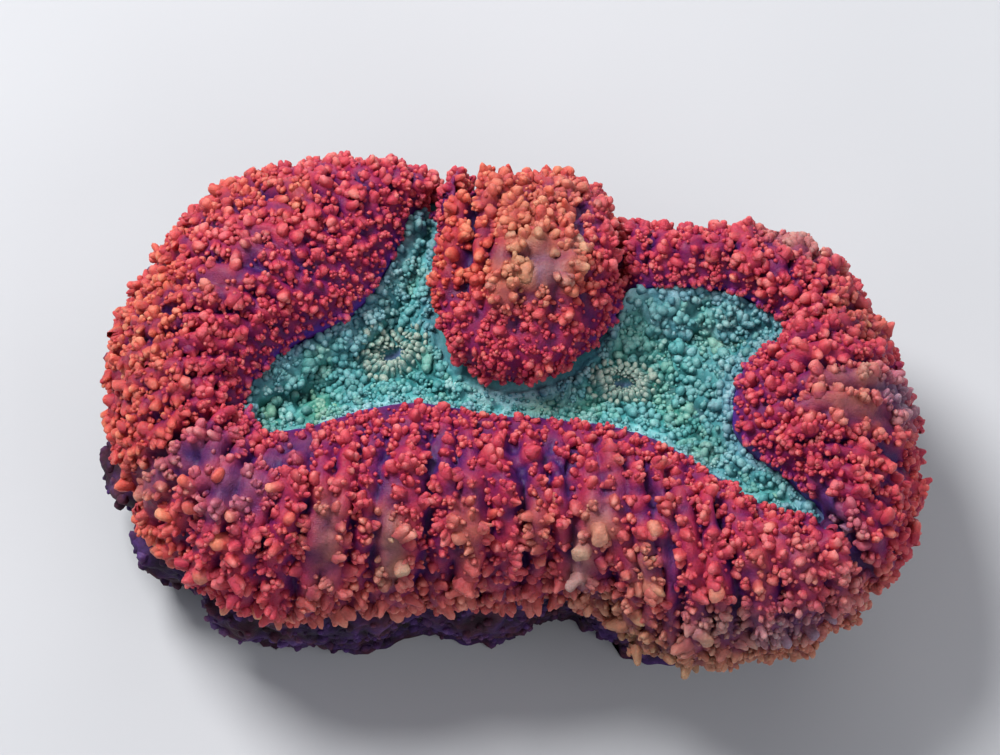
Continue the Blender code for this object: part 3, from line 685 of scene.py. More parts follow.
class Flesh:
    """The finished skin, and the knobs that grow on it."""

    def __init__(self, surface, chance):
        self.grid, self.normals, self.across, self.girth, self.ridge, self.bare, self.maps = surface
        self.chance = chance
        steps = np.roll(self.grid, -1, axis=1)[:-1] - self.grid[:-1], self.grid[1:] - self.grid[:-1]
        self.area = np.linalg.norm(np.cross(*steps), axis=2)
        first = np.interp(station_at(self.girth), *KNOBS_FROM.T)
        away = self.across[:-1, None]
        self.area[(away < first) | (away > KNOBS_TO)] = 0.0
        self.fringe = ease(self.across, 3.7, 1.3)
        self.young = ease(self.across, 2.5, -1.4)

    def pick(self, count, density):
        """Random spots on the skin, thick where the density is high: row, column and place."""
        weight = (self.area * density[:-1]).ravel()
        spot = self.chance.choice(weight.size, count, p=weight / weight.sum())
        columns = self.grid.shape[1]
        i, j = np.divmod(spot, columns)
        u, v = self.chance.random((2, count, 1))
        k = (j + 1) % columns
        low = self.grid[i, j] * (1 - v) + self.grid[i, k] * v
        high = self.grid[i + 1, j] * (1 - v) + self.grid[i + 1, k] * v
        return i, j, low * (1 - u) + high * u

    def raise_skin(self, i, j, place, radius):
        """Swell the skin up under large knobs; gives their places, moved up with it."""
        rows, columns = self.grid.shape[:2]
        a = np.clip(i[:, None, None] + np.arange(-MOUND_ROWS, MOUND_ROWS + 1)[:, None], 0, rows - 1)
        b = (j[:, None, None] + np.arange(-MOUND_COLUMNS, MOUND_COLUMNS + 1)) % columns
        gap = np.linalg.norm(self.grid[a, b] - place[:, None, None], axis=-1)
        size = np.minimum(radius, MOUND_LARGEST)[:, None, None]
        share = np.exp(-((gap / (MOUND_REACH * size)) ** 2))
        near, rise = np.zeros((2, rows, columns))
        np.maximum.at(near, (a, b), share)
        np.maximum.at(rise, (a, b), share * MOUND_HEIGHT * size)
        moved = place + self.normals[i, j] * (0.9 * MOUND_HEIGHT * radius)[:, None]
        self.grid = self.grid + self.normals * rise[..., None]
        self.normals = grid_normals(self.grid)
        # Painted light and shade: the skin turns lighter on the mounds and darker away from the knobs
        self.maps["lift"] = np.clip(self.maps["lift"] + MOUND_PAINTED_LIGHT_AND_SHADE * (near - 0.4), 0, 0.7)
        return moved

    def knobs(self, i, j, place, axis, radius, length, point, rings, sides, tints=None):
        """Knobs whose colour at the foot is the skin's and at the tip their own, lighter at the tip partly
        with painted highlight.
        """
        skin = {key: val[i, j] for key, val in self.maps.items()}
        none, tone = np.zeros(len(i)), self.chance.normal(0, 1, len(i))
        ends = {key: (skin[key], (tints or skin)[key]) for key in ("warm", "pale", "cool")}
        ends["furrow"] = 0.5 * skin["furrow"], none
        ends["edge"] = 0.8 * skin["edge"], none
        # Painted highlight: the tips are lighter than the foot, partly the knobs' own paler tips and partly
        # painted light, most on the large knobs.
        tip = 0.66 + 0.38 * np.minimum(radius, 0.5) + 0.08 * tone
        ends["lift"] = np.clip(skin["lift"] + 0.04, 0, 0.6), tip
        ends["tone"] = tone, tone
        values = {key: np.stack(pair, axis=1) for key, pair in ends.items()}
        lean = self.chance.normal(0, 0.4, (len(i), 2))
        return Knobs(place, axis, radius, length, point, lean, rings, sides, values)

    def axes(self, i, j, stray):
        """Directions that knobs grow in: off the skin, a little up, and drooping at the rim."""
        up = np.array([0.0, 0, 1.0]) * (0.15 - 0.4 * self.fringe[i])[:, None]
        return unit(self.normals[i, j] + up + self.chance.normal(0, stray, (len(i), 3)))


def side_lobes(chance, place, axis, radius, most):
    """Side lobes that lean out from knobs: each one's knob, place, axis and radius."""
    parent = np.repeat(np.arange(len(place)), chance.integers(0, most, len(place)))
    turn = chance.uniform(0, 2 * np.pi, len(parent))
    side = unit(np.cross(axis[parent], (0.31, 0.2, 0.93)))
    out = side * np.cos(turn)[:, None] + np.cross(axis[parent], side) * np.sin(turn)[:, None]
    spot = place[parent] + out * (radius[parent] * chance.uniform(0.75, 1.15, len(parent)))[:, None]
    tilt = unit(axis[parent] + out * chance.uniform(0.2, 0.7, len(parent))[:, None])
    return parent, spot, tilt, radius[parent] * chance.uniform(0.5, 0.9, len(parent))


def make_flesh(material):
    """The skin, clusters of large knobs along its folds, small ones between, and chosen ones."""
    chance = np.random.default_rng(FLESH_SEED)
    flesh = Flesh(flesh_surface(), chance)
    station, across, radius, length, point, *tints = np.array(CHOSEN_KNOBS).T
    j = np.searchsorted(flesh.girth, girth_at(station)) % len(flesh.girth)
    i = np.searchsorted(flesh.across, across)
    place = flesh.raise_skin(i, j, flesh.grid[i, j], radius)
    tints = dict(zip(("pale", "warm", "cool"), tints))
    axis = flesh.axes(i, j, 0.1)
    groups = [flesh.knobs(i, j, place, axis, radius, length, point, ALL_RINGS, 14, tints)]
    stations = [station]

    # The front lobe is the least crowded, and its knobs rise out of the skin as cones
    front = ease(flesh.grid[..., 1], -3.0, -4.0) * ease(flesh.grid[..., 0], 22.0, -6.0)
    gaps = np.clip(0.9 + 1.3 * noise(flesh.grid, 3.2, 16), 0.15, 1)
    open_skin = (1 - 0.6 * front * (1.1 - gaps)) * np.clip(1 - 1.2 * flesh.bare, 0.012, 1)
    crowd = np.clip(2.2 * flesh.ridge - 0.9, 0.05, 1) * open_skin
    i, j, place = flesh.pick(LARGE_TRIES, crowd)
    radius = 0.48 - 0.15 * flesh.young[i] + 0.12 * front[i, j] * flesh.fringe[i]
    radius = np.clip(radius * np.exp(chance.normal(0, 0.24, len(i))), 0.22, 0.62 + 0.2 * front[i, j])
    kept = scatter(place, radius * 2.0 + 0.12 + 0.1 * front[i, j], MOST_LARGE)
    i, j, place, radius = i[kept], j[kept], place[kept], radius[kept]
    place = flesh.raise_skin(i, j, place, radius)
    fringe = flesh.fringe[i]
    axis = flesh.axes(i, j, 0.3)
    length = radius * chance.uniform(1.1, 1.9, len(i)) * (1 + 0.4 * fringe * chance.random(len(i)))
    point = np.clip(0.5 * np.maximum(fringe, front[i, j]) + chance.normal(0.15, 0.22, len(i)), 0, 0.8)
    groups.append(flesh.knobs(i, j, place, axis, radius, length, point, FEW_RINGS, 8))
    parent, spot, tilt, size = side_lobes(chance, place, axis, radius, 6)
    tall = size * chance.uniform(1.2, 2.1, len(parent))
    point = 0.6 * point[parent]
    groups.append(flesh.knobs(i[parent], j[parent], spot, tilt, size, tall, point, LAST_RINGS, 7))
    station = station_at(flesh.girth[j])
    stations += [station, station[parent]]

    crowd = (0.35 + 0.65 * flesh.ridge) * open_skin * (0.5 + flesh.young)[:, None]
    i, j, place = flesh.pick(SMALL_TRIES, crowd)
    radius = 0.26 - 0.03 * flesh.young[i]
    radius = np.clip(radius * np.exp(chance.normal(0, 0.25, len(i))), 0.12, 0.42)
    kept = scatter(place, radius * 2.2 + 0.1 + 0.1 * front[i, j], MOST_SMALL)
    i, j, place, radius = i[kept], j[kept], place[kept], radius[kept]
    length = radius * chance.uniform(1.0, 1.8, len(i))
    axis = flesh.axes(i, j, 0.25)
    groups.append(flesh.knobs(i, j, place, axis, radius, length, 0.5 * front[i, j], LAST_RINGS, 6))
    stations.append(station_at(flesh.girth[j]))

    bounds = (*LOBES.values(), len(STATIONS))
    for name, low, high in zip(LOBES, bounds, bounds[1:]):
        mine = [(s >= low) & (s < high) for s in stations]
        parts = [group.only(m) for group, m in zip(groups, mine) if m.any()]
        knobs_object(f"knobs_on_{name}_lobe", parts, material)

    rows, columns = flesh.grid.shape[:2]
    values = {key: np.broadcast_to(val, (rows, columns)).ravel() for key, val in flesh.maps.items()}
    faces = grid_faces(rows, columns)
    mesh_object("mantle_skin", flesh.grid.reshape(-1, 3), faces, values, material)


def edge_distance(points, outline):
    """Distance from points in plan to a closed outline, below zero outside, and nearest station."""
    best = np.full(len(points), 1e9)
    nearest = np.zeros(len(points))
    inside = np.zeros(len(points), bool)
    for k, (a, b) in enumerate(zip(outline, np.roll(outline, -1, axis=0))):
        away, share = line_distance(points, a, b)
        run = b - a
        nearest = np.where(away < best, (k + share) * len(STATIONS) / len(outline), nearest)
        best = np.minimum(best, away)
        spans = (a[1] > points[:, 1]) != (b[1] > points[:, 1])
        rise = run[1] if abs(run[1]) > 1e-9 else 1e-9
        inside ^= spans & (points[:, 0] < a[0] + (points[:, 1] - a[1]) * run[0] / rise)
    return np.where(inside, best, -best), nearest


def disc_outline():
    where = np.linspace(0, len(STATIONS), OUTLINE_POINTS, endpoint=False)
    return round_loop(STATIONS, where)[:, 0:2]


def disc_relief(points, depth, station):
    """Height of the disc at points in plan, and its relief, its shelf and its mouths' slits."""
    flat = level(points)
    height = DISC_LEVEL - DISC_SAG * ease(depth / DISC_FALL)
    # A frilly shelf stands up along some of the edge, and bands run out to it from each mouth
    width = np.interp(station, *SHELF.T)
    frill = 0.5 * noise(flat, 2.4, 33) + 0.35 * noise(flat, 1.1, 36)
    shelf = ease((width + frill - depth) / 0.35) * np.minimum(width, 1)
    centres = np.array([m[:2] for m in MOUTHS[:2]])
    away = np.linalg.norm(points[:, None] - centres, axis=2)
    ray = points - centres[np.argmin(away, axis=1)]
    reach = away.min(axis=1)
    warped = np.column_stack([unit(ray) * 4.6, reach * 0.25]) + 0.3 * noise(flat, 2.0, 31)[:, None]
    band = np.clip(1 - 2.4 * np.abs(noise(warped, 1, 32)), -0.5, 1)
    relief = 0.3 * ease((reach - 2.6) / 1.5) * band + SHELF_RISE * shelf
    bent = flat + 0.3 * noise(flat, 1.4, 38)[:, None]
    relief += 0.2 * noise(flat, 1.3, 34) + 0.36 * (0.3 - np.abs(noise(bent, 0.65, 35)))
    relief += 0.2 * np.exp(-(((depth - 0.5) / 0.45) ** 2))
    relief *= ease((depth + 0.2) / 0.5)
    height = height + relief
    slit = np.zeros(len(points))
    for *oval, rise in MOUTHS:
        local = oval_frame(points, *oval)
        ring = np.linalg.norm(local, axis=1)
        height += rise * 0.35 * np.exp(-(((ring - 0.85) / 0.45) ** 2))
        gash = np.exp(-((local[:, 1] / 0.2) ** 2) - (np.maximum(np.abs(local[:, 0]) - 0.36, 0) / 0.14) ** 2)
        height -= 0.1 * rise * gash
        slit = np.maximum(slit, gash * rise)
    return height, relief, shelf, slit


def make_disc(material):
    """The oral disc: a fine sheet, florets of beads, and a rosette of fingers round each mouth."""
    outline = disc_outline()
    low, high = outline.min(0) - DISC_EDGE, outline.max(0) + DISC_EDGE
    xs, ys = (np.arange(low[k], high[k] + DISC_GRID, DISC_GRID) for k in (0, 1))
    plan = np.stack(np.meshgrid(xs, ys, indexing="ij"), -1).reshape(-1, 2)
    depth, station = edge_distance(plan, outline)
    kept = depth > -DISC_EDGE
    layers = np.zeros((4, len(plan)))
    layers[:, kept] = disc_relief(plan[kept], depth[kept], station[kept])
    height, relief, shelf, slit = layers
    points = np.column_stack([plan, height])
    faces = grid_faces(len(xs), len(ys), closed=False)
    faces = faces[kept[faces].all(axis=1)]
    used = np.unique(faces)
    renumber = np.zeros(len(plan), int)
    renumber[used] = np.arange(len(used))
    # The arm's tip at the lower right turns blue, like the furrow that goes on from it
    slit = np.maximum(slit, mound(plan[None], 28.8, -11.2, 1.8, 1.3, -50.0)[0])
    maps = {
        # Painted light and shade in the disc's lift: lighter on the net, partly its own pale threads and
        # partly painted light against the middle lobe's shadow; lighter on raised relief and darker on the
        # shelf's sheet between its beads.
        "lift": np.clip(disc_net_and_painted_light(plan, depth, station) * 0.5 + 0.38 + 0.8 * relief - 0.7 * shelf, 0, 1),
        "grey": disc_grey(plan, depth, shelf),
        "beige": np.zeros(len(plan)),
        "slit": slit,
        "lime": disc_lime(plan),
    }
    mesh_object(
        "oral_disc", points[used], renumber[faces], {key: val[used] for key, val in maps.items()},
        material,
    )
    make_beads(outline, material)
    make_mouth_fingers(outline, material)


def disc_net_and_painted_light(plan, depth, station):
    """Where the disc has a fine net with few beads, in its middle and along its front edge; its lift is
    raised there too, partly its own pale net and partly painted light in the middle lobe's shadow.
    """
    middle = mound(plan[None], -0.5, 0.4, 7.5, 2.4, 4.0)[0]
    front = ease((2.0 - depth) / 1.0) * ((station > 26.0) & (station < 37.0))
    return np.maximum(middle, 0.8 * front)


def disc_grey(plan, depth, shelf):
    """How far the disc's teal turns blue-grey: at its edge, on the shelf and at the right."""
    grey = 0.75 * np.exp(-(depth**2)) + 0.45 * shelf + 0.3 * noise(level(plan), 3.0, 43)
    right = mound(plan[None], 20.5, 1, 3.5, 7.0, 0)[0]
    return np.clip(grey + 0.5 * right, 0, 1)


def disc_lime(plan):
    """How far the disc's teal turns yellow-green: in patches by the right mouth and elsewhere."""
    lime = 0.2 + 0.5 * noise(level(plan), 2.6, 41)
    for x, y, reach in ((13.0, 4.6, 4.0), (18.4, -3.4, 2.2), (-17.5, 0.6, 3.0), (4.0, -0.6, 3.0)):
        lime = lime + 0.6 * mound(plan[None], x, y, reach, reach, 0)[0]
    return np.clip(lime, 0, 1)


def make_beads(outline, material):
    """Florets, each a bead with smaller ones round it, thick on the shelf and in the arms."""
    chance = np.random.default_rng(DISC_SEED)
    plan = chance.uniform(outline.min(0), outline.max(0), (BEAD_TRIES, 2))
    depth, station = edge_distance(plan, outline)
    plan, depth, station = (v[depth > 0.3] for v in (plan, depth, station))
    height, shelf = disc_relief(plan, depth, station)[::2]
    mouth = np.min([np.linalg.norm(oval_frame(plan, *m[:5]), axis=1) for m in MOUTHS[:2]], axis=0)
    net = disc_net_and_painted_light(plan, depth, station)
    thick = noise(level(plan), 2.2, 42)
    crowd = np.clip(1.1 + 0.6 * shelf + 0.9 * thick - 1.3 * net, 0.08, 1)
    # The spots that no floret takes go to grains, which thicken the net between the florets
    use = (mouth > 1.6) & (chance.random(len(plan)) < crowd)
    radius = np.where(use, 0.48 - 0.24 * net, 0.2) * np.exp(chance.normal(0, 0.22, len(plan)))
    radius = np.clip(radius, 0.13, 0.75)
    places = np.column_stack([plan, height])
    floret, grain = np.flatnonzero(use), np.flatnonzero(~use & (mouth > 1.3))
    floret = floret[scatter(places[floret], radius[floret] * 1.95, MOST_BEADS)]
    grain = grain[scatter(places[grain], radius[grain] * 2.2 + 0.1, MOST_BEADS)]
    kept = np.append(floret, grain)
    places, radius, plan, depth, shelf = places[kept], radius[kept], plan[kept], depth[kept], shelf[kept]
    count = len(kept)
    axes = unit(np.column_stack([chance.normal(0, 0.25, (count, 2)), np.ones(count)]))
    bright = chance.normal(0, 0.1, count)
    lime = np.clip(disc_lime(plan) + chance.normal(0, 0.2, count), 0, 1)
    grey = np.clip(disc_grey(plan, depth, shelf) + chance.normal(0, 0.12, count), 0, 1)

    def beads(spots, along, size, of, rings, sides):
        # Painted shade and light: each bead is dark at its foot, in the gaps between beads, and light on
        # its top.
        values = disc_values(
            len(of), lift=np.stack([0.22 + 0.5 * bright[of], 0.8 + bright[of]], axis=1),
            grey=grey[of][:, None], lime=lime[of][:, None], beige=0.12,
        )
        tall = size * chance.uniform(1.0, 1.6, len(of))
        lean = chance.normal(0, 0.3, (len(of), 2))
        return Knobs(spots, along, size, tall, np.zeros(len(of)), lean, rings, sides, values)

    large, small = np.arange(len(floret)), np.arange(len(floret), count)
    parent, spots, along, size = side_lobes(chance, places[large], axes[large], radius[large], 9)
    knobs_object("disc_florets", [
        beads(places[large], axes[large], 0.9 * radius[large], large, LEAST_RINGS, 7),
        beads(spots, along, 0.9 * size, parent, LAST_RINGS, 7),
        beads(places[small], axes[small], radius[small], small, LAST_RINGS, 6),
    ], material)


def disc_values(count, **values):
    """Values for colour at the foot and at the tip of each of the disc's knobs."""
    keys = ("lift", "grey", "lime", "beige", "slit")
    return {key: np.array(np.broadcast_to(values.get(key, 0), (count, 2)), float) for key in keys}


def make_mouth_fingers(outline, material):
    """Rings of soft fingers that point in towards each mouth's slit."""
    chance = np.random.default_rng(MOUTH_SEED)
    places, axes, radii, lengths = [], [], [], []
    for x, y, long_half, short_half, turn, _ in MOUTHS[:2]:
        for ring, count, size, long, inwards in MOUTH_RINGS:
            for k in range(count):
                angle = 2 * math.pi * (k + 0.4 * chance.random()) / count
                local = np.array([math.cos(angle) * long_half, math.sin(angle) * short_half])
                out = turned(turn) @ local * ring * (1 + 0.07 * chance.normal())
                places.append(out + (x, y))
                axes.append((*(-unit(out) * inwards), 1))
                radii.append(size * (1 + 0.2 * chance.normal()))
                lengths.append(long * (1 + 0.15 * chance.normal()))
    places, count = np.array(places), len(places)
    height = disc_relief(places, *edge_distance(places, outline))[0]
    # The fingers are cream in their own colour, and darker at the foot and lighter at the tip: painted
    # shade at the foot and painted light on the tips.
    values = disc_values(count, lift=(0.36, 0.92), beige=(0.35, 0.9), lime=0.3)
    stand, along = np.column_stack([places, height]), unit(np.array(axes))
    radii, lengths, lean = np.array(radii), np.array(lengths), chance.normal(0, 0.2, (count, 2))
    fingers = Knobs(stand, along, radii, lengths, np.zeros(count), lean, ALL_RINGS, 8, values)
    knobs_object("mouth_fingers", [fingers], material)


def make_skeleton(material):
    """The crusted skeleton below the flesh: ribs, lumps and grains, closed by the flat cut."""
    girth = np.linspace(0, WHOLE_GIRTH, round(WHOLE_GIRTH / STONE_STEP), endpoint=False)
    across = np.linspace(STONE_FROM, STONE_TO, STONE_ROWS)
    grid = sweep(across, girth)
    normals = grid_normals(grid)
    free = ease(across, STONE_FROM, STONE_FREE - STONE_FROM)[:, None]
    ribs = round(WHOLE_GIRTH / RIB_PITCH)
    turn = 2 * np.pi * girth / WHOLE_GIRTH
    rib = np.cos(turn * ribs + 0.6 * np.sin(5 * turn)) + 0.8 * noise(grid, 3.0, 51)
    lump = noise(grid, 4.2, 52)
    grain = 0.6 - 1.6 * np.abs(noise(grid, 2.0, 53))
    fine = np.maximum(noise(grid, 1, 54), -0.3)
    height = free * (0.14 * rib + 0.9 * lump + 0.45 * grain + 0.5 * fine) - 1.3 * (1 - free) - 0.35
    grid = grid + normals * height[..., None]
    cut = BOX_FOOT[2]
    last = np.flatnonzero(grid[:, :, 2].max(axis=1) > cut + 0.15).max()
    grid = grid[: last + 1]
    grid[..., 2] = np.maximum(grid[..., 2], cut)
    grid[-1, :, 2] = cut
    # Painted light and shade: the crust is lighter on its grains and lumps and darker in the hollows
    # between them.
    lift = np.clip(0.35 + 0.35 * grain + 0.25 * fine + 0.15 * lump, 0, 1)[: last + 1]
    rows, columns = grid.shape[:2]
    grow_grains(grid, lift, material)
    centre = np.array([grid[-1, :, 0].mean(), grid[-1, :, 1].mean(), cut])
    grid = np.concatenate([grid, [centre + (grid[-1] - centre) * share for share in CUT_RINGS]])
    faces = grid_faces(len(grid), columns)
    middle = len(grid) * columns
    ring = middle - columns
    cap = np.array([(ring + k, ring + (k + 1) % columns, middle) for k in range(columns)])
    points = np.concatenate([grid.reshape(-1, 3), centre[None]])
    crusted, cut_off = rows * columns, len(points) - rows * columns
    values = {
        "lift": np.append(lift.ravel(), np.zeros(cut_off)),
        "sawn": np.repeat((0, 1), (crusted, cut_off)),
    }
    triangles = np.concatenate([faces[:, [0, 1, 2]], faces[:, [0, 2, 3]], cap])
    mesh_object("stony_skeleton", points, triangles, values, material)


def grow_grains(grid, lift, material):
    """Crusty grains that cover the skeleton down to near the cut."""
    chance = np.random.default_rng(GRAIN_SEED)
    i, j = (chance.integers(0, size, GRAIN_TRIES) for size in grid.shape[:2])
    use = grid[i, j, 2] > BOX_FOOT[2] + GRAIN_CLEARANCE
    i, j = i[use], j[use]
    radius = np.minimum(0.42 * np.exp(chance.normal(0, 0.3, len(i))), 0.62)
    kept = scatter(grid[i, j], 2.2 * radius + 0.2, MOST_GRAINS)
    i, j, radius = i[kept], j[kept], radius[kept]
    count = len(kept)
    axes = unit(grid_normals(grid)[i, j] + chance.normal(0, 0.3, (count, 3)))
    # Painted light: each grain is lighter at its tip than at its foot.
    values = {"lift": np.stack([lift[i, j], lift[i, j] + 0.2], axis=1), "sawn": np.zeros((count, 2))}
    grains = Knobs(
        grid[i, j], axes, radius, 0.9 * radius, np.zeros(count), chance.normal(0, 0.4, (count, 2)),
        LAST_RINGS, 6, values,
    )
    knobs_object("crust_grains", [grains], material)


def linear(*colour):
    """An sRGB colour, given as 0 to 255, as the linear values that shaders use."""
    share = np.array(colour) / 255.0
    value = np.where(share <= 0.04045, share / 12.92, ((share + 0.055) / 1.055) ** 2.4)
    return (*value.tolist(), 1)


class Nodes:
    """Short calls that build one material's node tree."""

    def __init__(self, name):
        self.material = bpy.data.materials.new(name)
        self.material.use_nodes = True
        self.tree = self.material.node_tree
        self.shader = self.tree.nodes["Principled BSDF"]
        self.place = self.new("ShaderNodeTexCoord").outputs["Object"]

    def new(self, kind, **settings):
        node = self.tree.nodes.new(kind)
        for key, value in settings.items():
            setattr(node, key, value)
        return node

    def link(self, source, target):
        if hasattr(source, "is_output"):
            self.tree.links.new(source, target)
        else:
            target.default_value = source

    def value(self, name, share=None):
        """A named value of the mesh, or a share of it."""
        value = self.new("ShaderNodeAttribute", attribute_name=name).outputs["Fac"]
        return value if share is None else self.math("MULTIPLY", value, share)

    def lift(self, noise, share):
        """How bright each place is: its own value, and up or down from it with the noise."""
        drift = self.math("SUBTRACT", noise, 0.5)
        return self.math("MULTIPLY_ADD", drift, share, self.value("lift"), clamp=True)

    def flecked(self, colour, fleck, dark):
        """The colour with flecks that darken it to this grey."""
        shade = self.ramp(fleck, (0.3, (dark,) * 3), (0.7, (255,) * 3))
        return self.mix(1.0, colour, shade, "MULTIPLY")

    def noise(self, size, detail=2.0, rough=0.55):
        node = self.new("ShaderNodeTexNoise")
        self.link(self.place, node.inputs["Vector"])
        node.inputs["Scale"].default_value = 1.0 / (size * MM)
        node.inputs["Detail"].default_value = detail
        node.inputs["Roughness"].default_value = rough
        return node.outputs["Fac"]

    def math(self, operation, a, b=0.0, c=0.0, clamp=False):
        node = self.new("ShaderNodeMath", operation=operation, use_clamp=clamp)
        for value, socket in zip((a, b, c), node.inputs):
            self.link(value, socket)
        return node.outputs[0]

    def ramp(self, factor, *stops):
        node = self.new("ShaderNodeValToRGB")
        self.link(factor, node.inputs["Fac"])
        points = node.color_ramp.elements
        while len(points) < len(stops):
            points.new(0.5)
        for point, (where, colour) in zip(points, stops):
            point.position = where
            point.color = linear(*colour)
        return node.outputs["Color"]

    def mix(self, factor, a, b, blend="MIX"):
        node = self.new("ShaderNodeMix", data_type="RGBA", blend_type=blend)
        self.link(factor, node.inputs["Factor"])
        self.link(a, node.inputs[6])
        self.link(b, node.inputs[7])
        return node.outputs[2]

    def finish(self, colour, roughness, bump, distance, **values):
        self.link(colour, self.shader.inputs["Base Color"])
        self.link(roughness, self.shader.inputs["Roughness"])
        node = self.new("ShaderNodeBump")
        node.inputs["Strength"].default_value = 1.0
        node.inputs["Distance"].default_value = distance * MM
        self.link(bump, node.inputs["Height"])
        self.link(node.outputs["Normal"], self.shader.inputs["Normal"])
        for key, value in values.items():
            self.shader.inputs[key.replace("_", " ")].default_value = value
        return self.material


def flesh_material():
    n = Nodes("coral_flesh")
    blotch = n.noise(1.6, 3.0)
    fleck = n.noise(0.35, 2.0)
    lift = n.lift(blotch, 0.35)
    # The ramps run over the lift, which holds painted light and shade: their dark ends are the skin's own
    # violet with painted blue-tinted shade, and their light ends are painted pinkish highlight on the
    # knobs' tips.
    red = n.ramp(
        lift, (0, (66, 16, 94)), (0.2, (124, 26, 90)), (0.42, (170, 38, 79)),
        (0.72, (210, 72, 88)), (1.0, (236, 130, 137)),
    )
    orange = n.ramp(
        lift, (0, (68, 18, 84)), (0.22, (136, 32, 70)), (0.48, (190, 56, 60)),
        (0.76, (222, 96, 76)), (1.0, (242, 150, 118)),
    )
    pale = n.ramp(
        lift, (0, (76, 40, 84)), (0.3, (132, 72, 86)), (0.6, (176, 118, 92)), (1.0, (208, 170, 132)),
    )
    cool = n.ramp(lift, (0, (66, 38, 92)), (0.4, (104, 80, 122)), (1.0, (152, 152, 172)))
    warm = n.math("MULTIPLY_ADD", n.value("tone"), 0.16, n.value("warm"), clamp=True)
    colour = n.mix(warm, red, orange)
    colour = n.mix(n.value("pale"), colour, pale)
    colour = n.mix(n.value("cool", 0.85), colour, cool)
    colour = n.mix(n.value("furrow", 0.38), colour, linear(84, 50, 116))
    colour = n.mix(n.value("edge", 0.8), colour, linear(84, 46, 168))
    colour = n.flecked(colour, fleck, 225)
    rough = n.math("MULTIPLY_ADD", blotch, 0.25, 0.4)
    bump = n.math("ADD", n.math("MULTIPLY", fleck, 0.7), n.noise(0.14, 1))
    return n.finish(
        colour, rough, bump, 0.09, Subsurface_Weight=0.3, Subsurface_Scale=0.0009,
        Subsurface_Radius=(1.0, 0.28, 0.22), Specular_IOR_Level=0.26, Coat_Weight=0.04, Coat_Roughness=0.3,
    )


def disc_material():
    n = Nodes("coral_disc")
    blotch = n.noise(1.2, 3.0)
    fleck = n.noise(0.3, 2.0)
    lift = n.lift(blotch, 0.3)
    teal = n.ramp(
        lift, (0, (18, 66, 76)), (0.25, (40, 116, 120)), (0.5, (72, 162, 164)), (0.8, (110, 192, 194)),
        (1.0, (158, 216, 216)),
    )
    lime = n.ramp(lift, (0, (22, 78, 72)), (0.4, (70, 152, 124)), (1.0, (164, 206, 160)))
    grey = n.ramp(lift, (0, (32, 66, 92)), (0.45, (80, 132, 158)), (1.0, (150, 190, 210)))
    beige = n.ramp(lift, (0, (54, 98, 104)), (0.5, (116, 146, 140)), (1.0, (190, 198, 180)))
    colour = n.mix(n.value("lime", 0.7), teal, lime)
    colour = n.mix(n.value("grey", 0.75), colour, grey)
    colour = n.mix(n.value("beige"), colour, beige)
    colour = n.mix(n.value("slit", 0.8), colour, linear(112, 124, 176))
    colour = n.flecked(colour, fleck, 222)
    rough = n.math("MULTIPLY_ADD", blotch, 0.25, 0.42)
    bump = n.math("ADD", n.math("MULTIPLY", fleck, 0.7), n.noise(0.12, 1))
    return n.finish(
        colour, rough, bump, 0.07, Subsurface_Weight=0.2, Subsurface_Scale=0.0008,
        Subsurface_Radius=(0.35, 1, 0.8), Specular_IOR_Level=0.3, Coat_Weight=0.05, Coat_Roughness=0.25,
    )


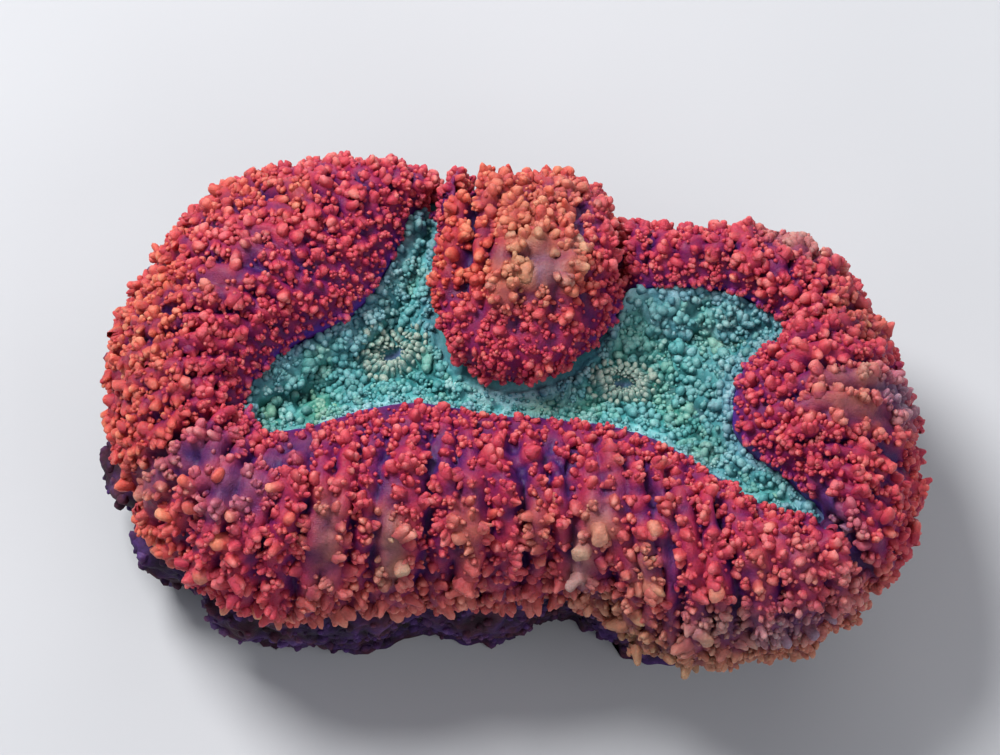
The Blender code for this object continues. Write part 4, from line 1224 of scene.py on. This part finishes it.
def skeleton_material():
    n = Nodes("coral_skeleton")
    blotch = n.noise(3.0, 4.0)
    fleck = n.noise(0.5, 3.0, 0.7)
    lift = n.lift(fleck, 0.6)
    crust = n.ramp(
        lift, (0, (18, 8, 28)), (0.35, (42, 18, 62)), (0.7, (74, 42, 104)), (1.0, (126, 98, 152)),
    )
    dark = n.ramp(lift, (0, (16, 6, 16)), (0.5, (52, 16, 38)), (1.0, (104, 52, 72)))
    colour = n.mix(n.ramp(blotch, (0.42, (0, 0, 0)), (0.6, (255, 255, 255))), crust, dark)
    stone = n.ramp(fleck, (0.2, (176, 164, 142)), (0.8, (226, 218, 198)))
    colour = n.mix(n.value("sawn"), colour, stone)
    rough = n.math("MULTIPLY_ADD", fleck, 0.25, 0.6)
    bump = n.math("ADD", fleck, n.math("MULTIPLY", n.noise(0.18, 2.0), 0.5))
    return n.finish(colour, rough, bump, 0.14, Specular_IOR_Level=0.3)


def add_aimed(name, data, place, way):
    """An object of the stage at its place, looking along a way."""
    thing = add_object(name, data)
    thing.location = place
    thing.rotation_mode = "QUATERNION"
    thing.rotation_quaternion = way.to_track_quat("-Z", "Y")
    return thing


def make_stage():
    """A plain pale floor, soft lights and the camera."""
    mesh = bpy.data.meshes.new("floor")
    corners = [(x * FLOOR_HALF, y * FLOOR_HALF, 0) for x, y in ((-1, -1), (1, -1), (1, 1), (-1, 1))]
    mesh.from_pydata(corners, [], [(0, 1, 2, 3)])
    floor = add_object("floor", mesh)
    n = Nodes("floor")
    tint = n.ramp(n.noise(60.0), (0.3, (190, 191, 194)), (0.7, (196, 197, 200)))
    mesh.materials.append(n.finish(tint, 0.75, n.noise(3.0), 0.02))

    world = bpy.data.worlds.new("soft_daylight")
    world.use_nodes = True
    sky = world.node_tree.nodes["Background"].inputs
    sky["Color"].default_value = (0.86, 0.9, 1, 1)
    sky["Strength"].default_value = 0.3
    bpy.context.scene.world = world

    centre = Vector((0, 0, 0.02))
    for name, place, width, power in LAMPS:
        light = bpy.data.lights.new(name, "AREA")
        light.shape = "DISK"
        light.size = width
        light.energy = power
        add_aimed(name, light, place, centre - Vector(place))

    rise = math.radians(CAMERA_ELEVATION)
    back = Vector((0, -math.cos(rise), math.sin(rise)))
    lens = bpy.data.cameras.new("camera")
    lens.sensor_width = SENSOR_WIDTH
    lens.lens = SENSOR_WIDTH * CAMERA_DISTANCE / PICTURE_WIDTH
    lens.clip_start, lens.clip_end = 0.01, 20.0
    place = Vector((AIM - BOX_FOOT) * MM) + back * CAMERA_DISTANCE * MM
    bpy.context.scene.camera = add_aimed("camera", lens, place, -back)
    bpy.context.scene.view_settings.view_transform = "Standard"


make_flesh(flesh_material())
make_disc(disc_material())
make_skeleton(skeleton_material())
make_stage()
